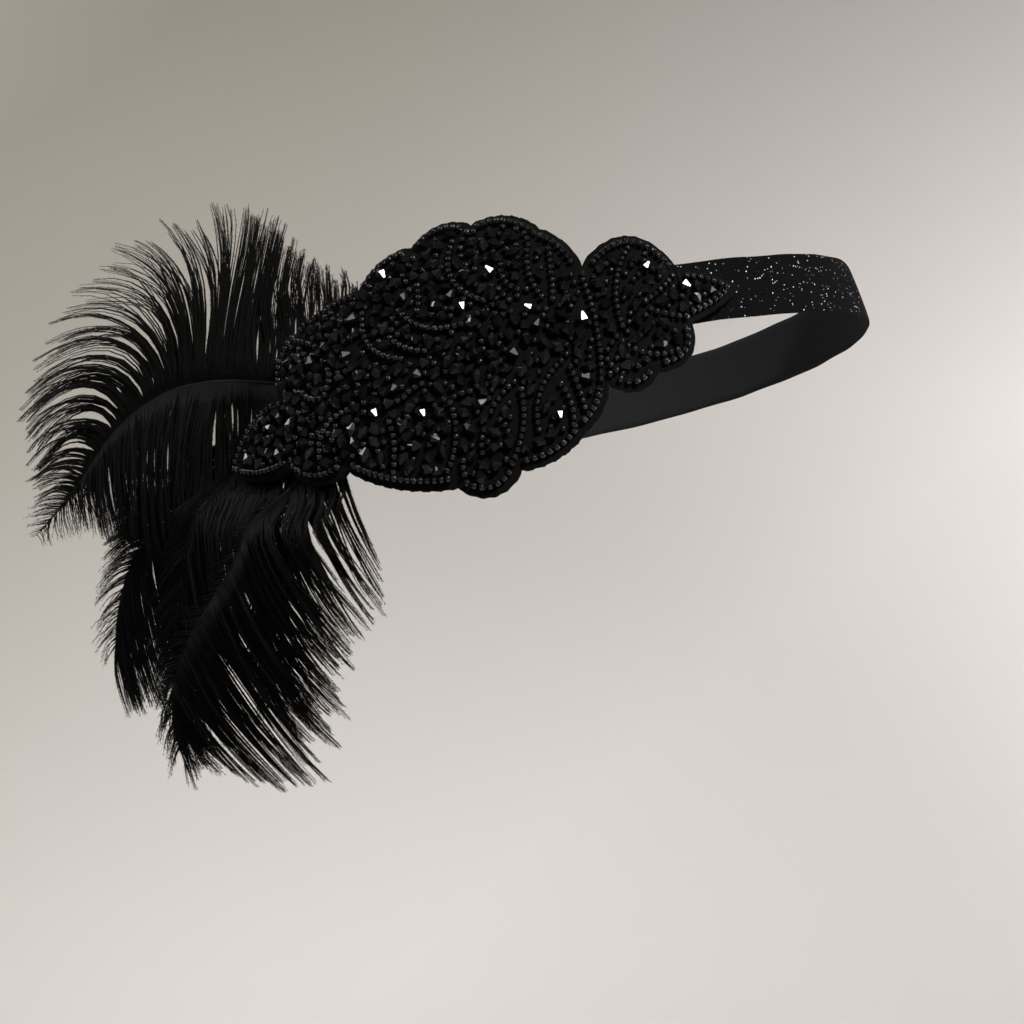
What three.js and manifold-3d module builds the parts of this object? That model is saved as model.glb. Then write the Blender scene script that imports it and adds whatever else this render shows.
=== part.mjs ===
// Flapper feather headband: an elastic loop, a scalloped felt patch sewn all over with beads and
// crystals, and five plumes whose quills are held between the elastic and the felt.
//
// Millimetres. The origin is the centre of the head opening. +X points the way the wearer looks,
// -Y is the wearer's right side, which carries the patch, and +Z is up.
//
// Everything lies on one "lay surface". A place on it is given by three numbers:
//   q  length along the lay line, 0 at the wearer's temple and growing towards the back,
//   z  height,
//   w  height above the head, square to it.
// The lay line follows the head to FREE_ANGLE, runs straight on under the patch, and then the
// plumes turn a little outwards, to PLUME_YAW.

import * as THREE from 'three';
import { mergeVertices } from 'three/addons/utils/BufferGeometryUtils.js';
import Module from 'manifold-3d';

const wasm = await Module();
wasm.setup();

// Head opening
const HEAD_HALF_LENGTH = 96;
const HEAD_HALF_WIDTH = 76;
const HEAD_LEAN = 13; // degrees that the head narrows upwards, at the band
const HEAD_CROWN_RADIUS = 190;

// Elastic
const BAND_WIDTH = 19;
const BAND_THICKNESS = 1.5;
const BAND_RISE = 19; // the front's height above the origin, and the back's depth below it
const BAND_SAG = 5; // the patch's weight pulls its side of the elastic down by this much
const BAND_STEPS = 72;

// Running clearance between neighbouring pieces
const GAP = 0.3;

// Quills
const QUILL_DIAMETER = 1.6;
const QUILL_TIP_DIAMETER = 1;
const QUILL_SIDES = 5;
const QUILL_STEP = 8;

// Felt patch
const FELT_THICKNESS = 1.5;
const FELT_LENGTH = 165.5;
const FELT_WIDTH = 84;
const FELT_FRONT = 44; // its front tip is this far in front of the temple
const FELT_TILT = 14; // degrees that its long axis drops towards the back
const FELT_STEP = 4.8;
const FELT_ROWS = 4;
const LOBE_ROUNDNESS = 0.7;

// Beadwork
const BEAD_MARGIN = 1.8; // bare felt round the beads
const BEAD_TIP_MARGIN = 3.6; // and at the patch's two pointed tips
const BEAD_NET_THICKNESS = 0.7;
const BEAD_DIAMETER = 1.8;
const BEAD_STEP = 8;
const RIDGE_HEIGHT = 1.4; // a bead row's crest above the net
const CRYSTAL_SIZE = 4;
const CRYSTAL_SIDES = 6;
const CRYSTAL_PITCH = 11;
const CRYSTAL_CLEARANCE = 3.2;
const CRYSTAL_TABLE = 0.45; // the table's width as a share of the crystal's
const CRYSTAL_GIRDLE_RISE = 1.4; // its widest place above the net
const CRYSTAL_TABLE_RISE = 3; // and its table

// Plumes
const FREE_ANGLE = 140; // degrees round from the front, where the lay line leaves the head
const STRAIGHT_RUN = 30;
const TURN_RUN = 50;
const PLUME_YAW = 28; // degrees from the wearer's long axis
const PLUME_LAYER = 4.5; // the plumes lie one in front of the other, this far apart
const LAYER_RUN = 24; // a quill takes this long to reach its layer
const PATCH_CLEARANCE = 4; // plumes stay flat until they are this far out from the patch
const LOCK_THICKNESS = 1.8; // locks lie turn by turn in front of and behind the quill
const LOCK_STEPS = 4;
const LOCK_PITCH = 12.5;
const LOCK_FULLNESS = 1.35; // a lock's greatest width as a share of the pitch
const LOCK_SLIMNESS = 0.4; // and at most this share of its length
const LOCK_SHOULDER = 0.14; // a lock's outline is this stretch of a half wave, its start
const LOCK_TAPER = 0.75; // and its length
const LOCK_ROOT = 0.5; // half the width, and the thickness, of a lock inside the quill
const LOCK_OFFSET = 0.3; // the first lock's place on the quill as a share of the pitch
const LOCK_LAST = 0.985; // no lock starts farther along the quill than this share of it
const LOCK_SHORTEST = 0.1; // no lock where the barbs are under this share of the longest
const HIDDEN_SHARE = 0.3; // a lock's thickness behind the patch as a share of that outside

// Heights above the head, from the head outwards
const QUILL_HEIGHT = BAND_THICKNESS + GAP + QUILL_DIAMETER / 2;
const FELT_INNER = BAND_THICKNESS + GAP + QUILL_DIAMETER + GAP;
const FELT_OUTER = FELT_INNER + FELT_THICKNESS;
const NET_INNER = FELT_OUTER + GAP;
const NET_OUTER = NET_INNER + BEAD_NET_THICKNESS;
const LAY_HEIGHT = FELT_INNER + FELT_THICKNESS / 2;

// The felt's upper and lower edges, each from the back tip to the front tip. A row is the start
// of one scallop: how far along the patch (share of FELT_LENGTH), how high above its axis and how
// far the scallop swells outwards (shares of FELT_WIDTH).
const UPPER_EDGE = [
  { along: 0, across: -0.173, bulge: 0.06 },
  { along: 0.145, across: 0.011, bulge: 0.06 },
  { along: 0.202, across: 0.238, bulge: 0.018 },
  { along: 0.347, across: 0.262, bulge: 0.042 },
  { along: 0.455, across: 0.344, bulge: 0.048 },
  { along: 0.57, across: 0.352, bulge: 0.045 },
  { along: 0.688, across: 0.261, bulge: 0.024 },
  { along: 0.742, across: 0.085, bulge: 0.12 },
  { along: 0.9, across: 0.004, bulge: 0.02 },
  { along: 1, across: -0.094, bulge: 0 },
];
const LOWER_EDGE = [
  { along: 0, across: -0.173, bulge: 0.033 },
  { along: 0.157, across: -0.274, bulge: 0.052 },
  { along: 0.28, across: -0.374, bulge: 0.036 },
  { along: 0.457, across: -0.545, bulge: 0.06 },
  { along: 0.562, across: -0.548, bulge: 0.03 },
  { along: 0.674, across: -0.476, bulge: 0.021 },
  { along: 0.729, across: -0.339, bulge: 0.048 },
  { along: 0.813, across: -0.333, bulge: 0.06 },
  { along: 0.891, across: -0.186, bulge: 0.015 },
  { along: 1, across: -0.094, bulge: 0 },
];

// Rows of seed beads that divide the patch into petals. Each is an arc from one place to another,
// in the same shares, swelling to the left of its way where bulge is positive.
const BEAD_ROWS = [
  { along: 0.735, across: 0.04, toAlong: 0.7, toAcross: -0.42, bulge: 0.03 },
  { along: 0.837, across: 0.13, toAlong: 0.776, toAcross: -0.17, bulge: -0.04 },
  { along: 0.888, across: -0.015, toAlong: 0.819, toAcross: -0.1, bulge: 0.006 },
  { along: 0.824, across: -0.115, toAlong: 0.946, toAcross: -0.14, bulge: -0.03 },
  { along: 0.758, across: -0.18, toAlong: 0.878, toAcross: -0.256, bulge: -0.058 },
  { along: 0.665, across: 0.21, toAlong: 0.666, toAcross: -0.01, bulge: -0.025 },
  { along: 0.696, across: 0.2, toAlong: 0.678, toAcross: -0.03, bulge: 0.006 },
  { along: 0.539, across: 0.3, toAlong: 0.575, toAcross: 0.037, bulge: -0.065 },
  { along: 0.595, across: -0.283, toAlong: 0.527, toAcross: -0.54, bulge: 0.038 },
  { along: 0.482, across: -0.263, toAlong: 0.438, toAcross: -0.48, bulge: 0.036 },
  { along: 0.671, across: -0.226, toAlong: 0.605, toAcross: -0.449, bulge: -0.037 },
  { along: 0.654, across: -0.297, toAlong: 0.645, toAcross: -0.47, bulge: 0.027 },
  { along: 0.424, across: 0.114, toAlong: 0.533, toAcross: -0.018, bulge: -0.043 },
  { along: 0.358, across: 0.16, toAlong: 0.423, toAcross: -0.075, bulge: -0.056 },
  { along: 0.281, across: -0.011, toAlong: 0.221, toAcross: -0.052, bulge: 0.062 },
  { along: 0.312, across: -0.176, toAlong: 0.236, toAcross: -0.27, bulge: -0.051 },
  { along: 0.376, across: -0.26, toAlong: 0.361, toAcross: -0.38, bulge: 0.015 },
];

// The plumes. rootAlong and rootAcross place the quill's root on the patch, in the same shares,
// and layer counts from the head outwards. Each row of the vane is a place on the quill (share of
// the plume's length) with the quill's heading there, and for the outer and the inner vane the
// barbs' length (share of the plume's barb) and the headings with which they leave and end.
// Headings are in degrees: 90 is up, 180 is backwards and 270 is down.
const PLUMES = [
  {
    name: 'plume_upper', rootAlong: 0.319, rootAcross: -0.104, layer: 1, length: 152, barb: 70,
    vane: [
      { at: 0, heading: 165, outer: 0.5, leave: 88, end: 100, inner: 0, drop: 255, hang: 262 },
      { at: 0.21, heading: 168, outer: 0.6, leave: 88, end: 96, inner: 0, drop: 255, hang: 262 },
      { at: 0.4, heading: 172, outer: 0.93, leave: 90, end: 115, inner: 0, drop: 262, hang: 275 },
      { at: 0.5, heading: 181, outer: 1, leave: 94, end: 155, inner: 0.8, drop: 265, hang: 280 },
      { at: 0.61, heading: 203, outer: 0.98, leave: 108, end: 215, inner: 0.8, drop: 268, hang: 285 },
      { at: 0.74, heading: 230, outer: 0.68, leave: 125, end: 235, inner: 0.66, drop: 275, hang: 288 },
      { at: 0.83, heading: 232, outer: 0.4, leave: 150, end: 205, inner: 0.42, drop: 278, hang: 286 },
      { at: 0.9, heading: 220, outer: 0.24, leave: 165, end: 195, inner: 0.3, drop: 274, hang: 280 },
      { at: 1, heading: 219, outer: 0.12, leave: 185, end: 200, inner: 0.12, drop: 262, hang: 270 },
    ],
  },
  {
    name: 'plume_back', rootAlong: 0.161, rootAcross: -0.197, layer: 0, length: 108, barb: 50,
    vane: [
      { at: 0, heading: 198, outer: 0, leave: 170, end: 200, inner: 0, drop: 270, hang: 285 },
      { at: 0.34, heading: 192, outer: 0, leave: 170, end: 200, inner: 0, drop: 270, hang: 285 },
      { at: 0.5, heading: 196, outer: 0.2, leave: 170, end: 210, inner: 0.95, drop: 272, hang: 285 },
      { at: 0.65, heading: 212, outer: 0.22, leave: 175, end: 215, inner: 1, drop: 268, hang: 285 },
      { at: 0.82, heading: 246, outer: 0.25, leave: 190, end: 225, inner: 0.8, drop: 268, hang: 284 },
      { at: 1, heading: 260, outer: 0.2, leave: 215, end: 245, inner: 0.45, drop: 268, hang: 282 },
    ],
  },
  {
    name: 'plume_middle', rootAlong: 0.224, rootAcross: -0.082, layer: 2, length: 136, barb: 45,
    vane: [
      { at: 0, heading: 190, outer: 0, leave: 205, end: 240, inner: 0, drop: 285, hang: 272 },
      { at: 0.2, heading: 200, outer: 0, leave: 205, end: 240, inner: 0, drop: 285, hang: 272 },
      { at: 0.36, heading: 244, outer: 0, leave: 205, end: 240, inner: 0, drop: 290, hang: 272 },
      { at: 0.48, heading: 249, outer: 0.65, leave: 205, end: 240, inner: 1, drop: 288, hang: 272 },
      { at: 0.7, heading: 248, outer: 0.65, leave: 205, end: 240, inner: 0.9, drop: 284, hang: 274 },
      { at: 1, heading: 256, outer: 0.35, leave: 222, end: 250, inner: 0.4, drop: 278, hang: 278 },
    ],
  },
  {
    name: 'plume_long', rootAlong: 0.248, rootAcross: -0.162, layer: 3, length: 127, barb: 68,
    vane: [
      { at: 0, heading: 226, outer: 0, leave: 190, end: 180, inner: 0, drop: 290, hang: 310 },
      { at: 0.15, heading: 239, outer: 0, leave: 190, end: 180, inner: 0, drop: 290, hang: 310 },
      { at: 0.28, heading: 250, outer: 0.14, leave: 190, end: 180, inner: 0.85, drop: 292, hang: 312 },
      { at: 0.45, heading: 220, outer: 0.14, leave: 188, end: 178, inner: 0.88, drop: 290, hang: 314 },
      { at: 0.65, heading: 216, outer: 0.14, leave: 186, end: 176, inner: 0.8, drop: 290, hang: 312 },
      { at: 0.78, heading: 229, outer: 0.14, leave: 186, end: 178, inner: 0.62, drop: 290, hang: 308 },
      { at: 0.9, heading: 247, outer: 0.13, leave: 190, end: 186, inner: 0.32, drop: 286, hang: 304 },
      { at: 1, heading: 258, outer: 0.12, leave: 215, end: 225, inner: 0.14, drop: 280, hang: 292 },
    ],
  },
  {
    name: 'plume_inner', rootAlong: 0.262, rootAcross: -0.284, layer: 0, length: 80, barb: 50,
    vane: [
      { at: 0, heading: 228, outer: 0, leave: 215, end: 245, inner: 0.75, drop: 292, hang: 298 },
      { at: 0.2, heading: 218, outer: 0.2, leave: 215, end: 245, inner: 0.82, drop: 290, hang: 310 },
      { at: 0.45, heading: 226, outer: 0.5, leave: 215, end: 248, inner: 1.02, drop: 288, hang: 318 },
      { at: 0.65, heading: 250, outer: 0.5, leave: 225, end: 254, inner: 1, drop: 286, hang: 314 },
      { at: 1, heading: 262, outer: 0.3, leave: 238, end: 260, inner: 0.52, drop: 284, hang: 308 },
    ],
  },
];

const rad = THREE.MathUtils.degToRad;

function smooth(value) {
  return THREE.MathUtils.smoothstep(value, 0, 1);
}

// Closed mesh with shared vertices, no slivers of no area, and its faces pointing out.
function closed(geometry) {
  const bare = new THREE.BufferGeometry();
  bare.setAttribute('position', geometry.getAttribute('position').clone());
  const count = geometry.getAttribute('position').count;
  bare.setIndex(geometry.index ? Array.from(geometry.index.array) : [...Array(count).keys()]);
  const merged = mergeVertices(bare, 1e-4);
  const place = merged.getAttribute('position');
  const kept = [];
  const corner = [new THREE.Vector3(), new THREE.Vector3(), new THREE.Vector3()];
  let volume = 0;
  for (let face = 0; face < merged.index.count; face += 3) {
    const ids = [0, 1, 2].map((side) => merged.index.getX(face + side));
    if (ids[0] === ids[1] || ids[1] === ids[2] || ids[2] === ids[0]) continue;
    kept.push(...ids);
    ids.forEach((id, side) => corner[side].fromBufferAttribute(place, id));
    volume += corner[0].dot(corner[1].clone().cross(corner[2]));
  }
  merged.setIndex(volume < 0 ? kept.reverse() : kept);
  return merged;
}

function toSolid(geometry) {
  const mesh = closed(geometry);
  return new wasm.Manifold(new wasm.Mesh({
    numProp: 3,
    vertProperties: new Float32Array(mesh.getAttribute('position').array),
    triVerts: new Uint32Array(mesh.index.array),
  }));
}

// All the bodies joined into one.
function joined(geometries) {
  const whole = geometries.map(toSolid).reduce((sum, next) => sum.add(next));
  const mesh = whole.getMesh();
  const geometry = new THREE.BufferGeometry();
  geometry.setAttribute('position', new THREE.BufferAttribute(mesh.vertProperties, 3));
  geometry.setIndex(new THREE.BufferAttribute(mesh.triVerts, 1));
  return geometry;
}

// Skin through a row of rings, each a loop of the same number of points, closed at both ends.
function loft(rings) {
  const sides = rings[0].length;
  const places = rings.flat().flatMap((point) => point.toArray());
  const faces = [];
  for (let ring = 0; ring + 1 < rings.length; ring += 1) {
    for (let side = 0; side < sides; side += 1) {
      const here = ring * sides + side;
      const beside = ring * sides + (side + 1) % sides;
      faces.push(here, beside, here + sides, beside, beside + sides, here + sides);
    }
  }
  const last = (rings.length - 1) * sides;
  for (let side = 1; side + 1 < sides; side += 1) {
    faces.push(0, side + 1, side, last, last + side, last + side + 1);
  }
  const geometry = new THREE.BufferGeometry();
  geometry.setAttribute('position', new THREE.Float32BufferAttribute(places, 3));
  geometry.setIndex(faces);
  return geometry;
}

// Every vertex of a geometry put somewhere else by a function of its old place.
function warped(geometry, move) {
  const place = geometry.getAttribute('position');
  for (let id = 0; id < place.count; id += 1) {
    const point = move(place.getX(id), place.getY(id), place.getZ(id));
    place.setXYZ(id, point.x, point.y, point.z);
  }
  return closed(geometry);
}

// How far the head has drawn in at a height above the origin: a lean plus a crown arc.
function inset(z) {
  return z * Math.tan(rad(HEAD_LEAN)) + z * z / (2 * HEAD_CROWN_RADIUS);
}

// Half the axes of the ellipse that the lay line follows round the head.
const LAY_HALF_LENGTH = HEAD_HALF_LENGTH + LAY_HEIGHT;
const LAY_HALF_WIDTH = HEAD_HALF_WIDTH + LAY_HEIGHT;

// Place and yaw of the head's ellipse, by the angle round from the front over the wearer's right.
// Yaw is the turn from straight backwards towards the wearer's left.
function headLine(angle) {
  return {
    x: LAY_HALF_LENGTH * Math.cos(angle),
    y: -LAY_HALF_WIDTH * Math.sin(angle),
    yaw: Math.atan2(-LAY_HALF_WIDTH * Math.cos(angle), LAY_HALF_LENGTH * Math.sin(angle)),
    speed: Math.hypot(LAY_HALF_LENGTH * Math.sin(angle), LAY_HALF_WIDTH * Math.cos(angle)),
  };
}

// A point at a height z and a height w above the head, square to a place on the lay line.
function raised(line, z, w) {
  const out = w - LAY_HEIGHT - inset(z);
  return new THREE.Vector3(
    line.x - Math.sin(line.yaw) * out,
    line.y - Math.cos(line.yaw) * out,
    z,
  );
}

// The lay line as stations one step apart, from in front of the patch to past the plumes.
const LINE_STEP = 0.5;
const LINE_START = -(FELT_FRONT + FELT_WIDTH / 4);
const LINE_END = FELT_LENGTH + Math.max(...PLUMES.map((plume) => plume.length + plume.barb));

function makeLayLine() {
  const stations = [];
  let angle = rad(90);
  for (let q = 0; q > LINE_START; q -= LINE_STEP) {
    angle -= LINE_STEP / headLine(angle).speed;
  }
  let station = headLine(angle);
  let turned = null;
  for (let q = LINE_START; q < LINE_END; q += LINE_STEP) {
    stations.push(station);
    if (angle < rad(FREE_ANGLE)) {
      angle += LINE_STEP / headLine(angle + LINE_STEP / 2 / station.speed).speed;
      station = headLine(angle);
    } else {
      turned = turned ?? { q, yaw: station.yaw };
      const turn = smooth((q - turned.q - STRAIGHT_RUN) / TURN_RUN);
      const yaw = THREE.MathUtils.lerp(turned.yaw, rad(PLUME_YAW), turn);
      station = {
        x: station.x - LINE_STEP * Math.cos(yaw),
        y: station.y + LINE_STEP * Math.sin(yaw),
        yaw,
      };
    }
  }
  return stations;
}

const LAY_LINE = makeLayLine();

function onLay(q, z, w) {
  const step = (q - LINE_START) / LINE_STEP;
  const index = THREE.MathUtils.clamp(Math.floor(step), 0, LAY_LINE.length - 2);
  const from = LAY_LINE[index];
  const to = LAY_LINE[index + 1];
  const part = step - index;
  const line = {
    x: THREE.MathUtils.lerp(from.x, to.x, part),
    y: THREE.MathUtils.lerp(from.y, to.y, part),
    yaw: THREE.MathUtils.lerp(from.yaw, to.yaw, part),
  };
  return raised(line, z, w);
}

// Patch shares to lay coordinates: the patch's axis passes the temple at FELT_TILT.
function patchToLay(along, across) {
  const length = FELT_FRONT - (1 - along) * FELT_LENGTH;
  const height = across * FELT_WIDTH;
  const tilt = rad(FELT_TILT);
  return {
    q: height * Math.sin(tilt) - length * Math.cos(tilt),
    z: length * Math.sin(tilt) + height * Math.cos(tilt),
  };
}

function onPatch(spot, w) {
  const lay = patchToLay(spot.along, spot.across);
  return onLay(lay.q, lay.z, w);
}

// A place moved on the patch by millimetres along and across.
function moved(spot, alongBy, acrossBy) {
  return { along: spot.along + alongBy / FELT_LENGTH, across: spot.across + acrossBy / FELT_WIDTH };
}

// The unit way from one place on the patch to another, in millimetres along and across.
function wayBetween(from, to) {
  const along = (to.along - from.along) * FELT_LENGTH;
  const across = (to.across - from.across) * FELT_WIDTH;
  const length = Math.hypot(along, across);
  return { along: along / length, across: across / length, length };
}

// A place on a scalloped edge: the chord of its scallop, pushed outwards by a rounded bulge.
function edgePoint(edge, side, share) {
  const next = edge.findIndex((row) => row.along >= share);
  const to = edge[Math.max(next, 1)];
  const from = edge[Math.max(next, 1) - 1];
  const part = (share - from.along) / (to.along - from.along);
  const way = wayBetween(from, to);
  const swell = side * from.bulge * FELT_WIDTH * Math.sin(Math.PI * part) ** LOBE_ROUNDNESS;
  const chord = {
    along: THREE.MathUtils.lerp(from.along, to.along, part),
    across: THREE.MathUtils.lerp(from.across, to.across, part),
  };
  return moved(chord, -way.across * swell, way.along * swell);
}

// The edge moved inwards by a margin, square to itself, and along the axis at the two tips.
function insetEdge(edge, side, share, margin) {
  const point = edgePoint(edge, side, share);
  const atTip = margin * BEAD_TIP_MARGIN / BEAD_MARGIN;
  if (share <= 0) return moved(point, atTip, 0);
  if (share >= 1) return moved(point, -atTip, 0);
  const reach = FELT_STEP / 2 / FELT_LENGTH;
  const before = edgePoint(edge, side, Math.max(share - reach, 0));
  const after = edgePoint(edge, side, Math.min(share + reach, 1));
  const way = wayBetween(before, after);
  return moved(point, way.across * side * margin, -way.along * side * margin);
}

// Shares along the patch with a column at every notch of both edges and steps between them.
function patchColumns() {
  const notches = [...UPPER_EDGE, ...LOWER_EDGE].map((row) => row.along).sort((a, b) => a - b);
  const columns = [0];
  notches.forEach((notch) => {
    const from = columns[columns.length - 1];
    const steps = Math.round((notch - from) * FELT_LENGTH / FELT_STEP);
    for (let step = 1; step <= steps; step += 1) {
      columns.push(from + (notch - from) * step / steps);
    }
  });
  return columns;
}

// The felt's outline, moved inwards by a margin, as one loop of lay coordinates.
function patchOutline(margin) {
  return [
    ...patchColumns().map((share) => insetEdge(UPPER_EDGE, 1, share, margin)),
    ...patchColumns().reverse().map((share) => insetEdge(LOWER_EDGE, -1, share, margin)),
  ].map((spot) => patchToLay(spot.along, spot.across));
}

const FELT_OUTLINE = patchOutline(0);
// A crystal whose middle lies in this outline stands on the bead net with its whole foot.
const CRYSTAL_OUTLINE = patchOutline(BEAD_MARGIN + CRYSTAL_SIZE / 2 * CRYSTAL_TABLE);

// A lay place is inside if a level line from it crosses the outline an odd number of times.
function isInside(outline, spot) {
  const crossings = outline.filter((corner, index) => {
    const next = outline[(index + 1) % outline.length];
    const part = (spot.z - corner.z) / (next.z - corner.z);
    const level = (corner.z > spot.z) !== (next.z > spot.z);
    return level && spot.q < THREE.MathUtils.lerp(corner.q, next.q, part);
  });
  return crossings.length % 2 === 1;
}

// Whether a lay place is behind the felt or too near its edge.
function underPatch(spot) {
  const near = (corner) => Math.hypot(corner.q - spot.q, corner.z - spot.z) < PATCH_CLEARANCE;
  return isInside(FELT_OUTLINE, spot) || FELT_OUTLINE.some(near);
}

// A sheet over the whole patch, inset from the felt's edge, between two heights above the head.
function patchSheet(margin, innerHeight, outerHeight) {
  const columns = patchColumns();
  const last = columns.length - 1;
  return warped(new THREE.BoxGeometry(1, 1, 1, last, FELT_ROWS, 1), (x, y, z) => {
    const share = columns[Math.round((x + 0.5) * last)];
    const low = insetEdge(LOWER_EDGE, -1, share, margin);
    const high = insetEdge(UPPER_EDGE, 1, share, margin);
    const spot = {
      along: THREE.MathUtils.lerp(low.along, high.along, y + 0.5),
      across: THREE.MathUtils.lerp(low.across, high.across, y + 0.5),
    };
    return onPatch(spot, z > 0 ? outerHeight : innerHeight);
  });
}

function elasticBand() {
  const half = BAND_WIDTH / 2;
  const section = [[0, -half], [BAND_THICKNESS, -half], [BAND_THICKNESS, half], [0, half], [0, -half]];
  const rows = section.map(([height, rise]) => new THREE.Vector2(1 + height, rise));
  return warped(new THREE.LatheGeometry(rows, BAND_STEPS), (x, y, z) => {
    const angle = Math.atan2(x, z);
    const line = headLine(angle);
    const sag = BAND_SAG * Math.max(Math.sin(angle), 0) ** 2;
    return raised(line, BAND_RISE * Math.cos(angle) - sag + y, Math.hypot(x, z) - 1);
  });
}

// A row of seed beads in outline: a three-cornered ridge that stands on the net.
function beadRidge(spots) {
  const half = BEAD_DIAMETER / 2;
  const foot = NET_INNER + BEAD_NET_THICKNESS / 2;
  const rings = spots.map((spot, index) => {
    const before = spots[Math.max(index - 1, 0)];
    const after = spots[Math.min(index + 1, spots.length - 1)];
    const way = wayBetween(before, after);
    return [
      onPatch(moved(spot, -way.across * half, way.along * half), foot),
      onPatch(moved(spot, way.across * half, -way.along * half), foot),
      onPatch(spot, NET_OUTER + RIDGE_HEIGHT),
    ];
  });
  return loft(rings);
}

// The places along one row of seed beads, on an arc between its ends.
function rowSpots(row) {
  const to = { along: row.toAlong, across: row.toAcross };
  const way = wayBetween(row, to);
  const steps = Math.max(2, Math.round(way.length / BEAD_STEP));
  return Array.from({ length: steps + 1 }, (_, step) => {
    const part = step / steps;
    const swell = row.bulge * FELT_WIDTH * 4 * part * (1 - part);
    const chord = {
      along: THREE.MathUtils.lerp(row.along, to.along, part),
      across: THREE.MathUtils.lerp(row.across, to.across, part),
    };
    return moved(chord, -way.across * swell, way.along * swell);
  });
}

// The places just inside one of the felt's edges, which crystals keep clear of.
function rimSpots(edge, side) {
  return patchColumns().map((share) => insetEdge(edge, side, share, BEAD_MARGIN + BEAD_DIAMETER / 2));
}

// Staggered places between the bead rows with room for a crystal.
function crystalSpots(taken) {
  const spots = [];
  const alongPitch = CRYSTAL_PITCH / FELT_LENGTH;
  const acrossPitch = CRYSTAL_PITCH * Math.sin(rad(60)) / FELT_WIDTH;
  const rows = Math.ceil(1 / acrossPitch);
  for (let row = -rows; row <= rows; row += 1) {
    for (let share = (row & 1) * alongPitch / 2; share < 1; share += alongPitch) {
      const spot = { along: share, across: row * acrossPitch };
      const free = taken.every((other) => wayBetween(spot, other).length > CRYSTAL_CLEARANCE);
      const stands = isInside(CRYSTAL_OUTLINE, patchToLay(spot.along, spot.across));
      if (free && stands) spots.push(spot);
    }
  }
  return spots;
}

// A cut crystal: widest at its girdle, with two tiers of facets and a flat table.
function crystal(spot) {
  const half = CRYSTAL_SIZE / 2;
  const tiers = [
    { height: NET_INNER + BEAD_NET_THICKNESS / 2, radius: half * CRYSTAL_TABLE },
    { height: NET_OUTER + CRYSTAL_GIRDLE_RISE, radius: half },
    { height: NET_OUTER + CRYSTAL_TABLE_RISE, radius: half * CRYSTAL_TABLE },
  ];
  return loft(tiers.map(({ height, radius }) => Array.from({ length: CRYSTAL_SIDES }, (_, side) => {
    const angle = side * 2 * Math.PI / CRYSTAL_SIDES;
    return onPatch(moved(spot, radius * Math.cos(angle), radius * Math.sin(angle)), height);
  })));
}

function beadwork() {
  const rows = BEAD_ROWS.map(rowSpots);
  const rims = [rimSpots(LOWER_EDGE, -1), rimSpots(UPPER_EDGE, 1)];
  return joined([
    patchSheet(BEAD_MARGIN, NET_INNER, NET_OUTER),
    ...rows.map(beadRidge),
    ...crystalSpots([...rows, ...rims].flat()).map(crystal),
  ]);
}

// A plume's table read at any place along its quill.
function vaneAt(plume, at) {
  const next = Math.max(plume.vane.findIndex((row) => row.at >= at), 1);
  const from = plume.vane[next - 1];
  const to = plume.vane[next];
  const part = (at - from.at) / (to.at - from.at);
  return Object.fromEntries(Object.keys(from).map((column) => (
    [column, THREE.MathUtils.lerp(from[column], to[column], part)]
  )));
}

// The way from one place to the next by a heading in degrees.
function stepped(spot, heading, length) {
  return {
    q: spot.q - Math.cos(rad(heading)) * length,
    z: spot.z + Math.sin(rad(heading)) * length,
  };
}

// The quill's stations: its places on the lay surface, and its height above the head there.
function quillStations(plume) {
  const steps = Math.round(plume.length / QUILL_STEP);
  const stations = [];
  let spot = patchToLay(plume.rootAlong, plume.rootAcross);
  const outside = patchExit(plume);
  for (let step = 0; step <= steps; step += 1) {
    const at = step / steps;
    const climb = smooth((at * plume.length - outside - QUILL_STEP / 2) / LAYER_RUN);
    const w = QUILL_HEIGHT + climb * plume.layer * PLUME_LAYER;
    stations.push({ at, w, ...spot });
    const heading = vaneAt(plume, Math.min(at + 0.5 / steps, 1)).heading;
    spot = stepped(spot, heading, plume.length / steps);
  }
  return stations;
}

// How far along its quill a plume comes out from behind the patch.
function patchExit(plume) {
  let spot = patchToLay(plume.rootAlong, plume.rootAcross);
  let length = 0;
  while (length < plume.length && underPatch(spot)) {
    spot = stepped(spot, vaneAt(plume, length / plume.length).heading, 1);
    length += 1;
  }
  return length;
}

function quill(stations) {
  const rings = stations.map(({ q, z, w, at }, index) => {
    const before = stations[Math.max(index - 1, 0)];
    const after = stations[Math.min(index + 1, stations.length - 1)];
    const slope = Math.atan2(after.z - before.z, after.q - before.q);
    const radius = THREE.MathUtils.lerp(QUILL_DIAMETER, QUILL_TIP_DIAMETER, at) / 2;
    return Array.from({ length: QUILL_SIDES }, (_, side) => {
      const angle = side * 2 * Math.PI / QUILL_SIDES;
      const beside = radius * Math.cos(angle);
      const above = radius * Math.sin(angle);
      return onLay(q - Math.sin(slope) * beside, z + Math.cos(slope) * beside, w + above);
    });
  });
  return loft(rings);
}

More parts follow.
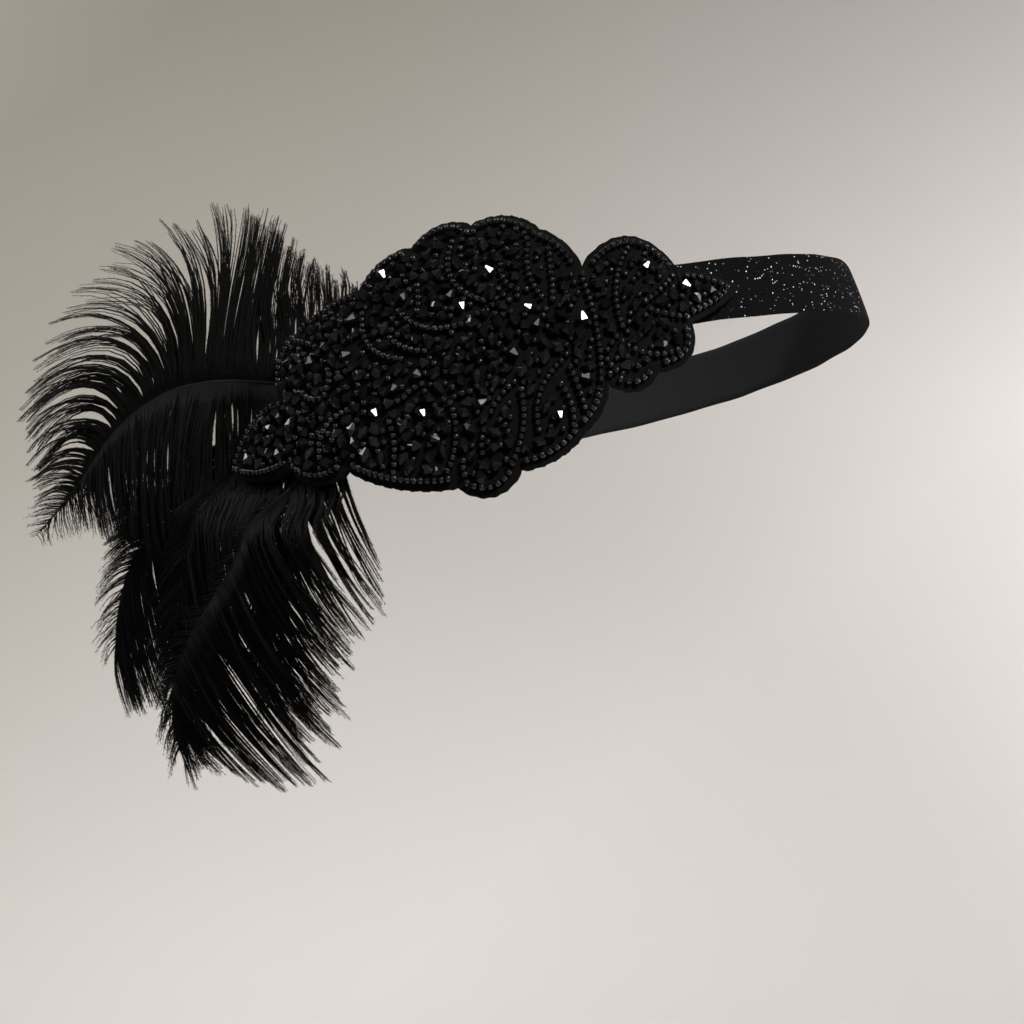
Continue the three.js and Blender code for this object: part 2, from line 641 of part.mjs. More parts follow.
// One lock of barbs: a blade, flat on the side that faces the next lock, that curves from its
// leaving heading to its ending one, swells and comes to a point. It stays thin behind the patch
// and spreads once its whole width is clear.
function lock(start, length, leave, end, plume, turn) {
  const far = QUILL_HEIGHT + plume.layer * PLUME_LAYER;
  const rings = [];
  let spot = { q: start.q, z: start.z };
  let hidden = true;
  let free = 0;
  for (let step = 0; step <= LOCK_STEPS; step += 1) {
    const part = step / LOCK_STEPS;
    const heading = THREE.MathUtils.lerp(leave, end, Math.max(part - 0.5 / LOCK_STEPS, 0));
    if (step > 0) spot = stepped(spot, heading, length / LOCK_STEPS);
    const swell = Math.sin(Math.PI * (part * LOCK_TAPER + LOCK_SHOULDER));
    const widest = Math.min(LOCK_PITCH * LOCK_FULLNESS, length * LOCK_SLIMNESS);
    const blade = step === LOCK_STEPS ? 0 : widest / 2 * swell;
    const half = step === 0 ? LOCK_ROOT : blade;
    const edges = [stepped(spot, heading + 90, half), stepped(spot, heading - 90, half)];
    const wasHidden = hidden;
    hidden = [spot, ...edges].some(underPatch);
    if (!hidden && !wasHidden) free += length / LOCK_STEPS;
    const clear = smooth(free / LAYER_RUN);
    const flat = THREE.MathUtils.lerp(start.w, far, clear) + (step > 0 ? turn * GAP / 2 : 0);
    const thick = step === 0 ? LOCK_ROOT : LOCK_THICKNESS;
    const share = step === 0 ? 1 : THREE.MathUtils.lerp(HIDDEN_SHARE, 1, clear);
    const ridge = flat + turn * (step === LOCK_STEPS ? 0 : thick * share);
    const corners = [
      onLay(edges[0].q, edges[0].z, flat),
      onLay(spot.q, spot.z, ridge),
      onLay(edges[1].q, edges[1].z, flat),
    ];
    rings.push(turn > 0 ? corners : corners.reverse());
  }
  return loft(rings);
}

// A quill with its locks: one every LOCK_PITCH along each vane, wherever the vane has barbs.
function plumeBody(plume) {
  const stations = quillStations(plume);
  const bodies = [quill(stations)];
  const count = Math.round(plume.length / LOCK_PITCH);
  for (let index = 0; index <= count; index += 1) {
    const at = Math.min((index + LOCK_OFFSET) / count, LOCK_LAST);
    const vane = vaneAt(plume, at);
    const start = quillPlace(stations, at);
    const turn = index % 2 ? 1 : -1;
    if (vane.outer > LOCK_SHORTEST) {
      bodies.push(lock(start, vane.outer * plume.barb, vane.leave, vane.end, plume, turn));
    }
    if (vane.inner > LOCK_SHORTEST) {
      bodies.push(lock(start, vane.inner * plume.barb, vane.drop, vane.hang, plume, -turn));
    }
  }
  return joined(bodies);
}

function quillPlace(stations, at) {
  const step = at * (stations.length - 1);
  const index = Math.min(Math.floor(step), stations.length - 2);
  const from = stations[index];
  const to = stations[index + 1];
  return {
    q: THREE.MathUtils.lerp(from.q, to.q, step - index),
    z: THREE.MathUtils.lerp(from.z, to.z, step - index),
    w: THREE.MathUtils.lerp(from.w, to.w, step - index),
  };
}

function piece(name, geometry, look) {
  geometry.computeVertexNormals();
  const mesh = new THREE.Mesh(geometry, new THREE.MeshStandardMaterial(look));
  mesh.name = name;
  return mesh;
}

const ELASTIC_LOOK = { color: 0x141417, roughness: 0.75, metalness: 0.1 };
const FELT_LOOK = { color: 0x0d0d0e, roughness: 0.95, metalness: 0 };
const BEAD_LOOK = { color: 0x101013, roughness: 0.2, metalness: 0.1 };
const PLUME_LOOK = { color: 0x0e0e0e, roughness: 0.7, metalness: 0 };

const group = new THREE.Group();
group.add(piece('elastic_band', elasticBand(), ELASTIC_LOOK));
group.add(piece('felt_backing', patchSheet(0, FELT_INNER, FELT_OUTER), FELT_LOOK));
group.add(piece('beadwork', beadwork(), BEAD_LOOK));
PLUMES.forEach((plume) => group.add(piece(plume.name, plumeBody(plume), PLUME_LOOK)));

export default group;
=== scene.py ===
import math

import bpy
import numpy as np
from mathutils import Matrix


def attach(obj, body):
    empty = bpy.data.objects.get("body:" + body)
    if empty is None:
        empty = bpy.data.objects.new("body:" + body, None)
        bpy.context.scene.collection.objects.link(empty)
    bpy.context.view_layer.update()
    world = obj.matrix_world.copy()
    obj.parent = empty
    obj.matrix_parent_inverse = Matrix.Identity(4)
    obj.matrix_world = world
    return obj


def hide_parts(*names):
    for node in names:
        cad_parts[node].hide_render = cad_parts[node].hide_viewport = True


# The looks of a flapper feather headband as worn: a loop of black elastic, a felt patch covered in
# glass beads and crystals, and five ostrich plumes that fall from behind the patch.
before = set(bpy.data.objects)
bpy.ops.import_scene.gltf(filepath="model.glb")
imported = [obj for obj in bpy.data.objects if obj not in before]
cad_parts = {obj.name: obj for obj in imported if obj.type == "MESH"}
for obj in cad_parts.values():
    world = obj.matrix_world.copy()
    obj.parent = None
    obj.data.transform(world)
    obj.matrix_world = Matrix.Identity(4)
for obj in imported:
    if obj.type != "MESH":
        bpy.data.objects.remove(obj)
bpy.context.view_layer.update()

# The camera stands on the wearer's right, below the band, and looks up by 9.4 degrees, as the
# photograph does. Distances in this section and the next are in metres.
camera = bpy.data.objects.new("camera", bpy.data.cameras.new("camera"))
bpy.context.scene.collection.objects.link(camera)
camera.data.lens = 57.6
camera.data.clip_start = 0.05
camera.location = (-0.0198, -0.515, -0.134)
camera.rotation_euler = (math.radians(99.4), 0, 0)
bpy.context.scene.camera = camera
bpy.context.scene.view_settings.view_transform = "Standard"


# The studio: a pale floor that curves up into a wall, a soft greige ground whose colour is painted
# lighter and pinker to the lower right and darker to the upper left, as painted light and shade.
FLOOR_HEIGHT = -0.34
WALL_DISTANCE = 1.5
COVE_RADIUS = 0.7


def node_maker(material):
    """Returns a function that adds a node with its settings and sets or joins its inputs."""
    tree = material.node_tree

    def add(kind, inputs=None, **settings):
        made = tree.nodes.new("ShaderNode" + kind)
        for name, value in settings.items():
            setattr(made, name, value)
        for name, value in (inputs or {}).items():
            if isinstance(value, bpy.types.NodeSocket):
                tree.links.new(value, made.inputs[name])
            else:
                made.inputs[name].default_value = value
        return made

    return add


def new_material(name):
    """A node material that holds a shader alone, with the function that adds nodes to it."""
    material = bpy.data.materials.new(name)
    material.use_nodes = True
    material.node_tree.nodes.clear()
    add = node_maker(material)
    shader = add("BsdfPrincipled")
    add("OutputMaterial", {"Surface": shader.outputs["BSDF"]})
    return material, add, shader


def feed(material, shader, **sockets):
    """Joins outputs to the shader's sockets, or sets values on them."""
    for name, value in sockets.items():
        socket = shader.inputs[name.replace("_", " ")]
        if isinstance(value, bpy.types.NodeSocket):
            material.node_tree.links.new(value, socket)
        else:
            socket.default_value = value


def mesh_piece(name, places, faces, material, smooth=True, uv=None, tone=None):
    """A mesh object from places (n, 3) in metres and faces (m, 3 or 4).

    uv holds one pair for each corner of each face, tone one number for each place.
    """
    mesh = bpy.data.meshes.new(name)
    sides = faces.shape[1]
    mesh.vertices.add(len(places))
    mesh.vertices.foreach_set("co", places.astype(np.float32).ravel())
    mesh.loops.add(faces.size)
    mesh.loops.foreach_set("vertex_index", faces.astype(np.int32).ravel())
    mesh.polygons.add(len(faces))
    mesh.polygons.foreach_set("loop_start", np.arange(0, faces.size, sides, dtype=np.int32))
    mesh.polygons.foreach_set("use_smooth", np.full(len(faces), smooth))
    if uv is not None:
        layer = mesh.uv_layers.new(name="UVMap")
        layer.data.foreach_set("uv", uv.astype(np.float32).ravel())
    if tone is not None:
        mesh.attributes.new("tone", "FLOAT", "POINT").data.foreach_set("value", tone.ravel())
    mesh.update(calc_edges=True)
    mesh.validate()
    mesh.materials.append(material)
    made = bpy.data.objects.new(name, mesh)
    bpy.context.scene.collection.objects.link(made)
    return made


def grid_faces(rows, columns, wrap=False):
    """Four-sided faces of a grid of places, row after row; wrap closes each row on itself."""
    row = np.arange(rows - 1)[:, None] * columns
    column = np.arange(columns if wrap else columns - 1)[None, :]
    beside = (column + 1) % columns
    corners = [row + column, row + beside, row + columns + beside, row + columns + column]
    return np.stack(corners, axis=-1).reshape(-1, 4)


def studio_ground():
    """A profile of floor, quarter circle and wall, carried straight across."""
    turn = np.linspace(0, np.pi / 2, 24)
    depth = np.concatenate([[-3, 0], WALL_DISTANCE - COVE_RADIUS + COVE_RADIUS * np.sin(turn),
                            [WALL_DISTANCE]])
    height = np.concatenate([[0, 0], COVE_RADIUS - COVE_RADIUS * np.cos(turn), [4]]) + FLOOR_HEIGHT
    across = np.linspace(-4, 4, 9)
    places = np.stack(np.broadcast_arrays(across[:, None], depth, height), axis=-1)
    return places.reshape(-1, 3), grid_faces(len(across), len(depth))[:, ::-1]


ground_paint, add, shader = new_material("studio_ground")
spot = add("TexCoord").outputs["Object"]
parts = add("SeparateXYZ", {"Vector": spot})
# Painted light: the colour runs from a light pinkish greige at the lower right to a darker greige at the
# upper left. This is a painted pool of light and painted shade, standing in for how the lamps fall on
# the ground.
slope = add("Math", {0: parts.outputs["X"], 1: -0.85}, operation="MULTIPLY")
painted_light_falloff = add("Math", {0: parts.outputs["Z"], 1: slope.outputs[0]}, operation="ADD")
painted_light_falloff = add("MapRange", {"Value": painted_light_falloff.outputs[0], "From Min": -0.2, "From Max": 1.25})
cloud = add("TexNoise", {"Vector": spot, "Scale": 1.3, "Detail": 2.0})
ramp = add("ValToRGB", {"Fac": painted_light_falloff.outputs["Result"]})
ramp.color_ramp.elements[0].color = (0.96, 0.925, 0.905, 1)
ramp.color_ramp.elements[1].color = (0.42, 0.392, 0.34, 1)
tint = add("MixRGB", {"Fac": 0.06, "Color1": ramp.outputs["Color"], "Color2": cloud.outputs["Color"]},
           blend_type="SOFT_LIGHT")
feed(ground_paint, shader, Base_Color=tint.outputs["Color"], Roughness=0.9, Specular_IOR_Level=0.1)
ground = mesh_piece("studio_ground", *studio_ground(), ground_paint)


def soft_lamp(name, place, aim, size, power, colour=(1, 1, 1)):
    """A square lamp of a size in metres at a place, turned to shine at another place."""
    lamp = bpy.data.objects.new(name, bpy.data.lights.new(name, "AREA"))
    bpy.context.scene.collection.objects.link(lamp)
    lamp.data.shape = "SQUARE"
    lamp.data.size = size
    lamp.data.energy = power
    lamp.data.color = colour
    way = np.array(aim) - np.array(place)
    across = math.hypot(way[0], way[1])
    lamp.location = place
    lamp.rotation_euler = (math.atan2(across, -way[2]), 0, math.atan2(-way[0], way[1]))
    return lamp


KEY_LAMP = (0.55, -1.35, 0.75)
key_lamp = soft_lamp("key_lamp", KEY_LAMP, (0, 0, 0), 0.22, 1.5, (1.0, 0.98, 0.95))
key_lamp.data.spread = math.radians(40)
SIDE_LAMP = (-0.6, -1.3, 0.5)
soft_lamp("side_lamp", SIDE_LAMP, (0, 0, 0), 0.12, 0.4, (0.95, 0.97, 1.0))
soft_lamp("fill_lamp", (-1.5, -1.2, 0.3), (0, 0, 0), 0.9, 1.3, (0.98, 0.99, 1.0))
soft_lamp("top_lamp", (-0.1, -0.5, 1.6), (0, 0, 0), 1.2, 1.6)
soft_lamp("left_wall_lamp", (-1.5, 0.5, 1.1), (0.25, 1.5, 0.3), 0.8, 15, (1.0, 0.99, 0.96))
soft_lamp("right_wall_lamp", (1.6, 0.5, 0.0), (0.1, 1.25, -0.34), 1.0, 19, (1.0, 0.985, 0.985))
world = bpy.data.worlds.new("studio_air")
bpy.context.scene.world = world
world.use_nodes = True
world.node_tree.nodes["Background"].inputs["Color"].default_value = (1, 0.99, 0.98, 1)
world.node_tree.nodes["Background"].inputs["Strength"].default_value = 0.06

# The form of the wearer's head, which everything lies on. A place on it has a length q along the
# lay line, 0 at the temple and growing to the back, a height z, and a height w above the head. The
# lay line is an oval that runs on straight behind the ear and then turns. Lengths from here on are
# in millimetres and angles in degrees.
MM = 0.001
HEAD_HALF_LENGTH = 96
HEAD_HALF_WIDTH = 76
HEAD_LEAN = 13
HEAD_CROWN_RADIUS = 190
LAY_HEIGHT = 4.45
LAY_START_ANGLE = 40
FREE_ANGLE = 140
STRAIGHT_RUN = 30
TURN_RUN = 50
FREE_RUN = 330
LAY_STEP = 0.25
PLUME_YAW = 28


def eased(value):
    """0 below 0, 1 above 1, and between them 3 v squared less 2 v cubed."""
    value = np.clip(value, 0, 1)
    return value * value * (3 - 2 * value)


def inset(z):
    """How far the head has drawn in at a height: a lean plus the arc of the crown."""
    return z * math.tan(math.radians(HEAD_LEAN)) + z * z / (2 * HEAD_CROWN_RADIUS)


def running_sum(values, step):
    """The sum of the values so far times the step, halfway between neighbours, from 0."""
    middle = (values[1:] + values[:-1]) / 2 * step
    return np.concatenate([[0], np.cumsum(middle)])


def lay_line():
    """Lengths, places and yaws along an ellipse to FREE_ANGLE, then straight, then turning."""
    half_length = HEAD_HALF_LENGTH + LAY_HEIGHT
    half_width = HEAD_HALF_WIDTH + LAY_HEIGHT
    angle = np.radians(np.linspace(LAY_START_ANGLE, FREE_ANGLE, 2001))
    speed = np.hypot(half_length * np.sin(angle), half_width * np.cos(angle))
    q = running_sum(speed, angle[1] - angle[0])
    q -= np.interp(math.pi / 2, angle, q)
    x = half_length * np.cos(angle)
    y = -half_width * np.sin(angle)
    yaw = np.arctan2(-half_width * np.cos(angle), half_length * np.sin(angle))
    run = np.arange(0, FREE_RUN, LAY_STEP)
    turning = yaw[-1] + (math.radians(PLUME_YAW) - yaw[-1]) * eased((run - STRAIGHT_RUN) / TURN_RUN)
    q = np.concatenate([q, q[-1] + run[1:]])
    x = np.concatenate([x, x[-1] - running_sum(np.cos(turning), LAY_STEP)[1:]])
    y = np.concatenate([y, y[-1] + running_sum(np.sin(turning), LAY_STEP)[1:]])
    return q, x, y, np.concatenate([yaw, turning[1:]])


LAY_LINE = lay_line()


def on_lay(q, z, w):
    """Metres from lay coordinates: the place on the line, moved out square to it.

    It moves by w less the line's own height above the head and less the inset.
    """
    x, y, yaw = (np.interp(q, LAY_LINE[0], column) for column in LAY_LINE[1:])
    out = w - LAY_HEIGHT - inset(z)
    return np.stack(np.broadcast_arrays(x - np.sin(yaw) * out, y - np.cos(yaw) * out, z), axis=-1) * MM


# The elastic: a loop of black stretch elastic 19 mm wide, woven in fine lengthwise ribs with
# metallic thread, whose glints on its outer face are painted highlights: near-white specks in its
# colour. It is stitched to the back of the felt.
BAND_WIDTH = 19
BAND_THICKNESS = 1.5
BAND_RISE = 19
BAND_SAG = 5
LOOP_LENGTH = 544
LOOP_STEPS = 300
EDGE_SQUARENESS = 14
RIB_COUNT = 27
RIB_DEPTH = 0.2
RIPPLE_HEIGHTS = (0.1, 0.08)
RIPPLES_ROUND = (17, 29)
# One crease slants across the elastic by the patch's front tip: the angle where it starts and how
# far below the middle, its rise for each radian, where it ends, and its height and half width.
FOLD_ANGLE = 73
FOLD_DROP = 9
FOLD_SLANT = 57
FOLD_END = 2
FOLD_HEIGHT = 0.45
FOLD_HALF_WIDTH = 0.9
INNER_FACE_SHIFT = 5


def elastic_loop():
    """A rounded flat section with ribs outside, carried round the head's ellipse by angle.

    Its height is a cosine of the angle less a sag on the patch side. Each rib is a cosine across.
    """
    angle = np.linspace(0, 2 * np.pi, LOOP_STEPS, endpoint=False)[:, None]
    outer = np.linspace(-1, 1, 4 * RIB_COUNT + 1)
    inner = np.linspace(1, -1, 16)[1:-1]
    share = np.concatenate([outer, inner])
    edge = np.sqrt(1 - np.abs(share) ** EDGE_SQUARENESS)
    ribs = RIB_DEPTH * (0.5 + 0.5 * np.cos(np.pi * RIB_COUNT * (share + 1)))
    is_outer = np.arange(len(share)) < len(outer)
    w = BAND_THICKNESS / 2 * (1 + np.where(is_outer, edge, -edge)) - np.where(is_outer, ribs, 0) * edge
    rise = share * BAND_WIDTH / 2
    ripple = (RIPPLE_HEIGHTS[0] * np.sin(RIPPLES_ROUND[0] * angle + 1)
              + RIPPLE_HEIGHTS[1] * np.sin(RIPPLES_ROUND[1] * angle + share))
    fold = rise + FOLD_DROP - (math.radians(FOLD_ANGLE) - angle) * FOLD_SLANT
    crease = FOLD_HEIGHT * np.exp(-(fold / FOLD_HALF_WIDTH) ** 2) * (rise < FOLD_END)
    w = w + np.where(is_outer, 1, 0.6) * crease
    half_length = HEAD_HALF_LENGTH + LAY_HEIGHT
    half_width = HEAD_HALF_WIDTH + LAY_HEIGHT
    sag = BAND_SAG * np.maximum(np.sin(angle), 0) ** 2
    z = BAND_RISE * np.cos(angle) - sag + rise + ripple * share ** 2
    yaw = np.arctan2(-half_width * np.cos(angle), half_length * np.sin(angle))
    out = w - LAY_HEIGHT - inset(z)
    x = half_length * np.cos(angle) - np.sin(yaw) * out
    y = -half_width * np.sin(angle) - np.cos(yaw) * out
    places = np.stack(np.broadcast_arrays(x, y, z), axis=-1).reshape(-1, 3) * MM
    columns = len(share)
    rows = len(angle)
    faces = grid_faces(rows + 1, columns, wrap=True) % (rows * columns)
    # The pattern's map: centimetres round the loop, and across it, with the inner face set apart.
    round_cm = np.arange(rows + 1)[:, None] * (LOOP_LENGTH / 10 / rows) + np.zeros(columns + 1)
    across_cm = np.concatenate([share, share[:1]]) * BAND_WIDTH / 20 + BAND_WIDTH / 20
    across_cm = across_cm + np.where(np.arange(columns + 1) < len(outer), 0, INNER_FACE_SHIFT)
    cells = np.stack(np.broadcast_arrays(round_cm, across_cm), axis=-1)
    corners = [cells[:-1, :-1], cells[:-1, 1:], cells[1:, 1:], cells[1:, :-1]]
    return places, faces, np.stack(corners, axis=2).reshape(-1, 2)


elastic_weave, add, shader = new_material("elastic_weave")
weave = add("UVMap", uv_map="UVMap").outputs["UV"]
weave_parts = add("SeparateXYZ", {"Vector": weave})
outside = add("Math", {0: weave_parts.outputs["Y"], 1: INNER_FACE_SHIFT - 2.0}, operation="LESS_THAN")
# Painted highlights: near-white specks, set into the outer face's base colour in chosen cells with a
# random brightness, stand in for the glints of the metallic thread.
painted_glint_cells = add("TexVoronoi", {"Vector": weave, "Scale": 12.0})
odds = add("SeparateColor", {"Color": painted_glint_cells.outputs["Color"]})
patchy = add("TexNoise", {"Vector": weave, "Scale": 1.3, "Detail": 1.0})
lowest = add("MapRange", {"Value": patchy.outputs["Fac"], "From Min": 0.3, "From Max": 0.7,
                          "To Min": 0.90, "To Max": 0.62})
chosen = add("Math", {0: odds.outputs["Red"], 1: lowest.outputs["Result"]}, operation="GREATER_THAN")
small = add("MapRange", {"Value": painted_glint_cells.outputs["Distance"], "From Min": 0.31, "From Max": 0.19})
painted_glint = add("Math", {0: chosen.outputs[0], 1: small.outputs["Result"]}, operation="MULTIPLY")
painted_glint = add("Math", {0: painted_glint.outputs[0], 1: outside.outputs[0]}, operation="MULTIPLY")
shine = add("MapRange", {"Value": odds.outputs["Green"], "To Min": 0.12, "To Max": 1.0})
painted_glint = add("Math", {0: painted_glint.outputs[0], 1: shine.outputs["Result"]}, operation="MULTIPLY")
thread = add("TexNoise", {"Vector": weave, "Scale": 14.0, "Detail": 3.0})
dye = add("ValToRGB", {"Fac": thread.outputs["Fac"]})
dye.color_ramp.elements[0].color = (0.002, 0.002, 0.0023, 1)
dye.color_ramp.elements[1].color = (0.006, 0.006, 0.0066, 1)
inward = add("MixRGB", {"Fac": outside.outputs[0], "Color1": (0.020, 0.021, 0.023, 1),
                        "Color2": dye.outputs["Color"]})
colour = add("MixRGB", {"Fac": painted_glint.outputs[0], "Color1": inward.outputs["Color"],
                        "Color2": (0.95, 0.95, 1.0, 1)})
pick = add("TexWave", {"Vector": weave, "Scale": 6.4, "Distortion": 2.5, "Detail": 2.0,
                       "Detail Scale": 6.0}, bands_direction="X")
nap = add("Bump", {"Height": pick.outputs["Fac"], "Strength": 0.45, "Distance": 0.0003})
feed(elastic_weave, shader, Base_Color=colour.outputs["Color"], Roughness=0.8,
     Normal=nap.outputs["Normal"], Specular_IOR_Level=0.03)
places, faces, uv = elastic_loop()
elastic = mesh_piece("elastic_band_cloth", places, faces, elastic_weave, uv=uv)
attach(elastic, "root")
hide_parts("elastic_band")

# The felt patch: black felt 1.5 mm thick, cut with scissors into scallops that follow the petals.
# It is sewn over the elastic and the quills, and its back end stands free of the head.
FELT_INNER = 3.7
FELT_OUTER = 5.2
FELT_LENGTH = 165.5
FELT_WIDTH = 84
FELT_FRONT = 44
FELT_TILT = 14
LOBE_ROUNDNESS = 0.7
RIM_FLATNESS = 0.28
# The scissors' wobble along the cut: the height of each wave, how fast it runs and its start.
CUT_WOBBLES = ((0.16, 310, 0), (0.1, 730, 1))
# Rows of the two edges from the back tip to the front: along (share of the length), across
# (share of the width) and how far the scallop that starts there swells out (share of the width).
UPPER_EDGE = np.array([
    (0, -0.173, 0.06), (0.145, 0.011, 0.06), (0.202, 0.238, 0.018), (0.347, 0.262, 0.042),
    (0.455, 0.344, 0.048), (0.57, 0.352, 0.045), (0.688, 0.261, 0.024), (0.742, 0.085, 0.12),
    (0.9, 0.004, 0.02), (1, -0.094, 0)])
LOWER_EDGE = np.array([
    (0, -0.173, 0.033), (0.157, -0.274, 0.052), (0.28, -0.374, 0.036), (0.457, -0.545, 0.06),
    (0.562, -0.548, 0.03), (0.674, -0.476, 0.021), (0.729, -0.339, 0.048), (0.813, -0.333, 0.06),
    (0.891, -0.186, 0.015), (1, -0.094, 0)])


def patch_to_lay(along, across):
    """Lay coordinates from millimetres along the patch's tilted axis and across it."""
    ahead = FELT_FRONT - (FELT_LENGTH - along)
    tilt = math.radians(FELT_TILT)
    q = across * math.sin(tilt) - ahead * math.cos(tilt)
    return q, ahead * math.sin(tilt) + across * math.cos(tilt)


def on_patch(along, across, w):
    """Metres from millimetres along and across the patch and above the head."""
    q, z = patch_to_lay(along, across)
    return on_lay(q, z, w)


def edge_line(edge, side, share):
    """Places on a scalloped edge: the chord of each scallop, pushed out by a rounded half wave."""
    index = np.clip(np.searchsorted(edge[:, 0], share, side="left"), 1, len(edge) - 1)
    start, end = edge[index - 1], edge[index]
    part = (share - start[:, 0]) / (end[:, 0] - start[:, 0])
    way = (end[:, :2] - start[:, :2]) * (FELT_LENGTH, FELT_WIDTH)
    way /= np.hypot(way[:, 0], way[:, 1])[:, None]
    swell = side * start[:, 2] * FELT_WIDTH * np.abs(np.sin(np.pi * part)) ** LOBE_ROUNDNESS
    along = share * FELT_LENGTH - way[:, 1] * swell
    across = (start[:, 1] + (end[:, 1] - start[:, 1]) * part) * FELT_WIDTH + way[:, 0] * swell
    return np.stack([along, across], axis=-1)


def edge_shares(count):
    """Shares along the patch, evenly spaced, with every notch of both edges among them."""
    return np.unique(np.concatenate([np.linspace(0, 1, count), UPPER_EDGE[:, 0], LOWER_EDGE[:, 0]]))


def felt_sheet():
    """A closed section, flat with rounded rims, lofted from the back tip to the front tip."""
    share = edge_shares(230)
    low = edge_line(LOWER_EDGE, -1, share)
    high = edge_line(UPPER_EDGE, 1, share)
    wobble = sum(height * np.sin(share * speed + start) for height, speed, start in CUT_WOBBLES)
    off_the_tips = share * (1 - share) > 0.002
    low[:, 1] -= wobble * off_the_tips
    high[:, 1] += wobble[::-1] * off_the_tips
    turn = np.linspace(0, 2 * np.pi, 64, endpoint=False)
    part = 0.5 - 0.5 * np.sign(np.cos(turn)) * np.abs(np.cos(turn)) ** 0.5
    rim = np.sign(np.sin(turn)) * np.abs(np.sin(turn)) ** RIM_FLATNESS
    middle = (FELT_INNER + FELT_OUTER) / 2
    w = middle + (FELT_OUTER - FELT_INNER) / 2 * rim
    spot = low[:, None] + (high - low)[:, None] * part[None, :, None]
    places = on_patch(spot[..., 0], spot[..., 1], np.broadcast_to(w, spot.shape[:2]))
    return places.reshape(-1, 3), grid_faces(len(share), len(turn), wrap=True)[:, ::-1]


black_felt, add, shader = new_material("black_felt")
spot = add("TexCoord").outputs["Object"]
fibre = add("TexNoise", {"Vector": spot, "Scale": 900.0, "Detail": 5.0, "Roughness": 0.7})
matting = add("TexNoise", {"Vector": spot, "Scale": 160.0, "Detail": 3.0})
dye = add("ValToRGB", {"Fac": matting.outputs["Fac"]})
dye.color_ramp.elements[0].color = (0.002, 0.002, 0.002, 1)
dye.color_ramp.elements[1].color = (0.006, 0.006, 0.006, 1)
both = add("Math", {0: fibre.outputs["Fac"], 1: matting.outputs["Fac"]}, operation="ADD")
nap = add("Bump", {"Height": both.outputs[0], "Strength": 0.6, "Distance": 0.0005})
feed(black_felt, shader, Base_Color=dye.outputs["Color"], Roughness=0.95, Normal=nap.outputs["Normal"],
     Specular_IOR_Level=0.05, Sheen_Weight=0.02, Sheen_Roughness=0.45)
places, faces = felt_sheet()
felt = mesh_piece("felt_patch", places, faces, black_felt)
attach(felt, "root")
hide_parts("felt_backing")

# The seed beads: rows of round black glass beads, strung and couched down, that outline every
# petal and the whole rim, with loose ones sewn between the crystals.
BEAD_WIDTH = 2.0
BEAD_LENGTH = 1.55
BEAD_HOLE = 0.7
BEAD_PITCH = 1.88
RIM_MARGIN = 2.7
ROW_EDGE_MARGIN = 1.9
ROW_CROSSING = 0.8
ROW_RAISE = 0.3
# Rows as arcs: from along, across to along, across (shares), and the swell to the left.
BEAD_ROWS = np.array([
    (0.735, 0.037, 0.701, -0.42, 0.028), (0.757, 0.05, 0.751, 0.007, 0),
    (0.773, 0.088, 0.837, 0.131, 0.018), (0.837, 0.131, 0.776, -0.173, -0.04),
    (0.851, 0.086, 0.811, -0.016, 0.015), (0.868, 0.079, 0.888, -0.015, 0.025),
    (0.888, -0.015, 0.819, -0.097, 0.006), (0.824, -0.114, 0.946, -0.149, -0.037),
    (0.9, -0.016, 0.964, -0.106, 0.048), (0.758, -0.183, 0.878, -0.256, -0.058),
    (0.782, -0.225, 0.798, -0.33, 0.009), (0.791, -0.351, 0.735, -0.204, 0.043),
    (0.665, 0.212, 0.666, -0.009, -0.025), (0.696, 0.202, 0.678, -0.027, 0.006),
    (0.713, 0.209, 0.735, 0.064, -0.008), (0.604, 0.344, 0.665, 0.212, 0.034),
    (0.559, 0.326, 0.594, 0.33, -0.019), (0.539, 0.307, 0.575, 0.037, -0.065),
    (0.613, 0.164, 0.633, 0.043, -0.026), (0.593, -0.257, 0.537, -0.35, -0.01),
    (0.537, -0.35, 0.558, -0.43, 0.014), (0.595, -0.283, 0.523, -0.575, 0.038),
    (0.523, -0.575, 0.481, -0.46, 0.05), (0.482, -0.263, 0.432, -0.531, 0.036),
    (0.527, -0.381, 0.512, -0.478, -0.01), (0.671, -0.226, 0.605, -0.449, -0.037),
    (0.676, -0.249, 0.682, -0.414, 0.004), (0.654, -0.297, 0.645, -0.503, 0.027),
    (0.645, -0.503, 0.579, -0.512, 0.027), (0.424, 0.114, 0.533, -0.018, -0.043),
    (0.464, 0.186, 0.456, 0.07, 0.008), (0.358, 0.16, 0.423, -0.075, -0.056),
    (0.4, 0.029, 0.465, -0.076, -0.016), (0.189, 0.194, 0.256, 0.104, 0.008),
    (0.281, -0.011, 0.221, -0.052, 0.062), (0.288, -0.097, 0.319, -0.099, 0.005),
    (0.312, -0.176, 0.236, -0.306, -0.051), (0.376, -0.259, 0.361, -0.448, 0.015),
    (0.405, -0.211, 0.449, -0.177, 0.006), (0.471, -0.27, 0.524, -0.258, 0.01)])
chance = np.random.default_rng(1927)
FELT_OUTLINE = np.concatenate([
    edge_line(UPPER_EDGE, 1, edge_shares(260)), edge_line(LOWER_EDGE, -1, edge_shares(260))[::-1]])


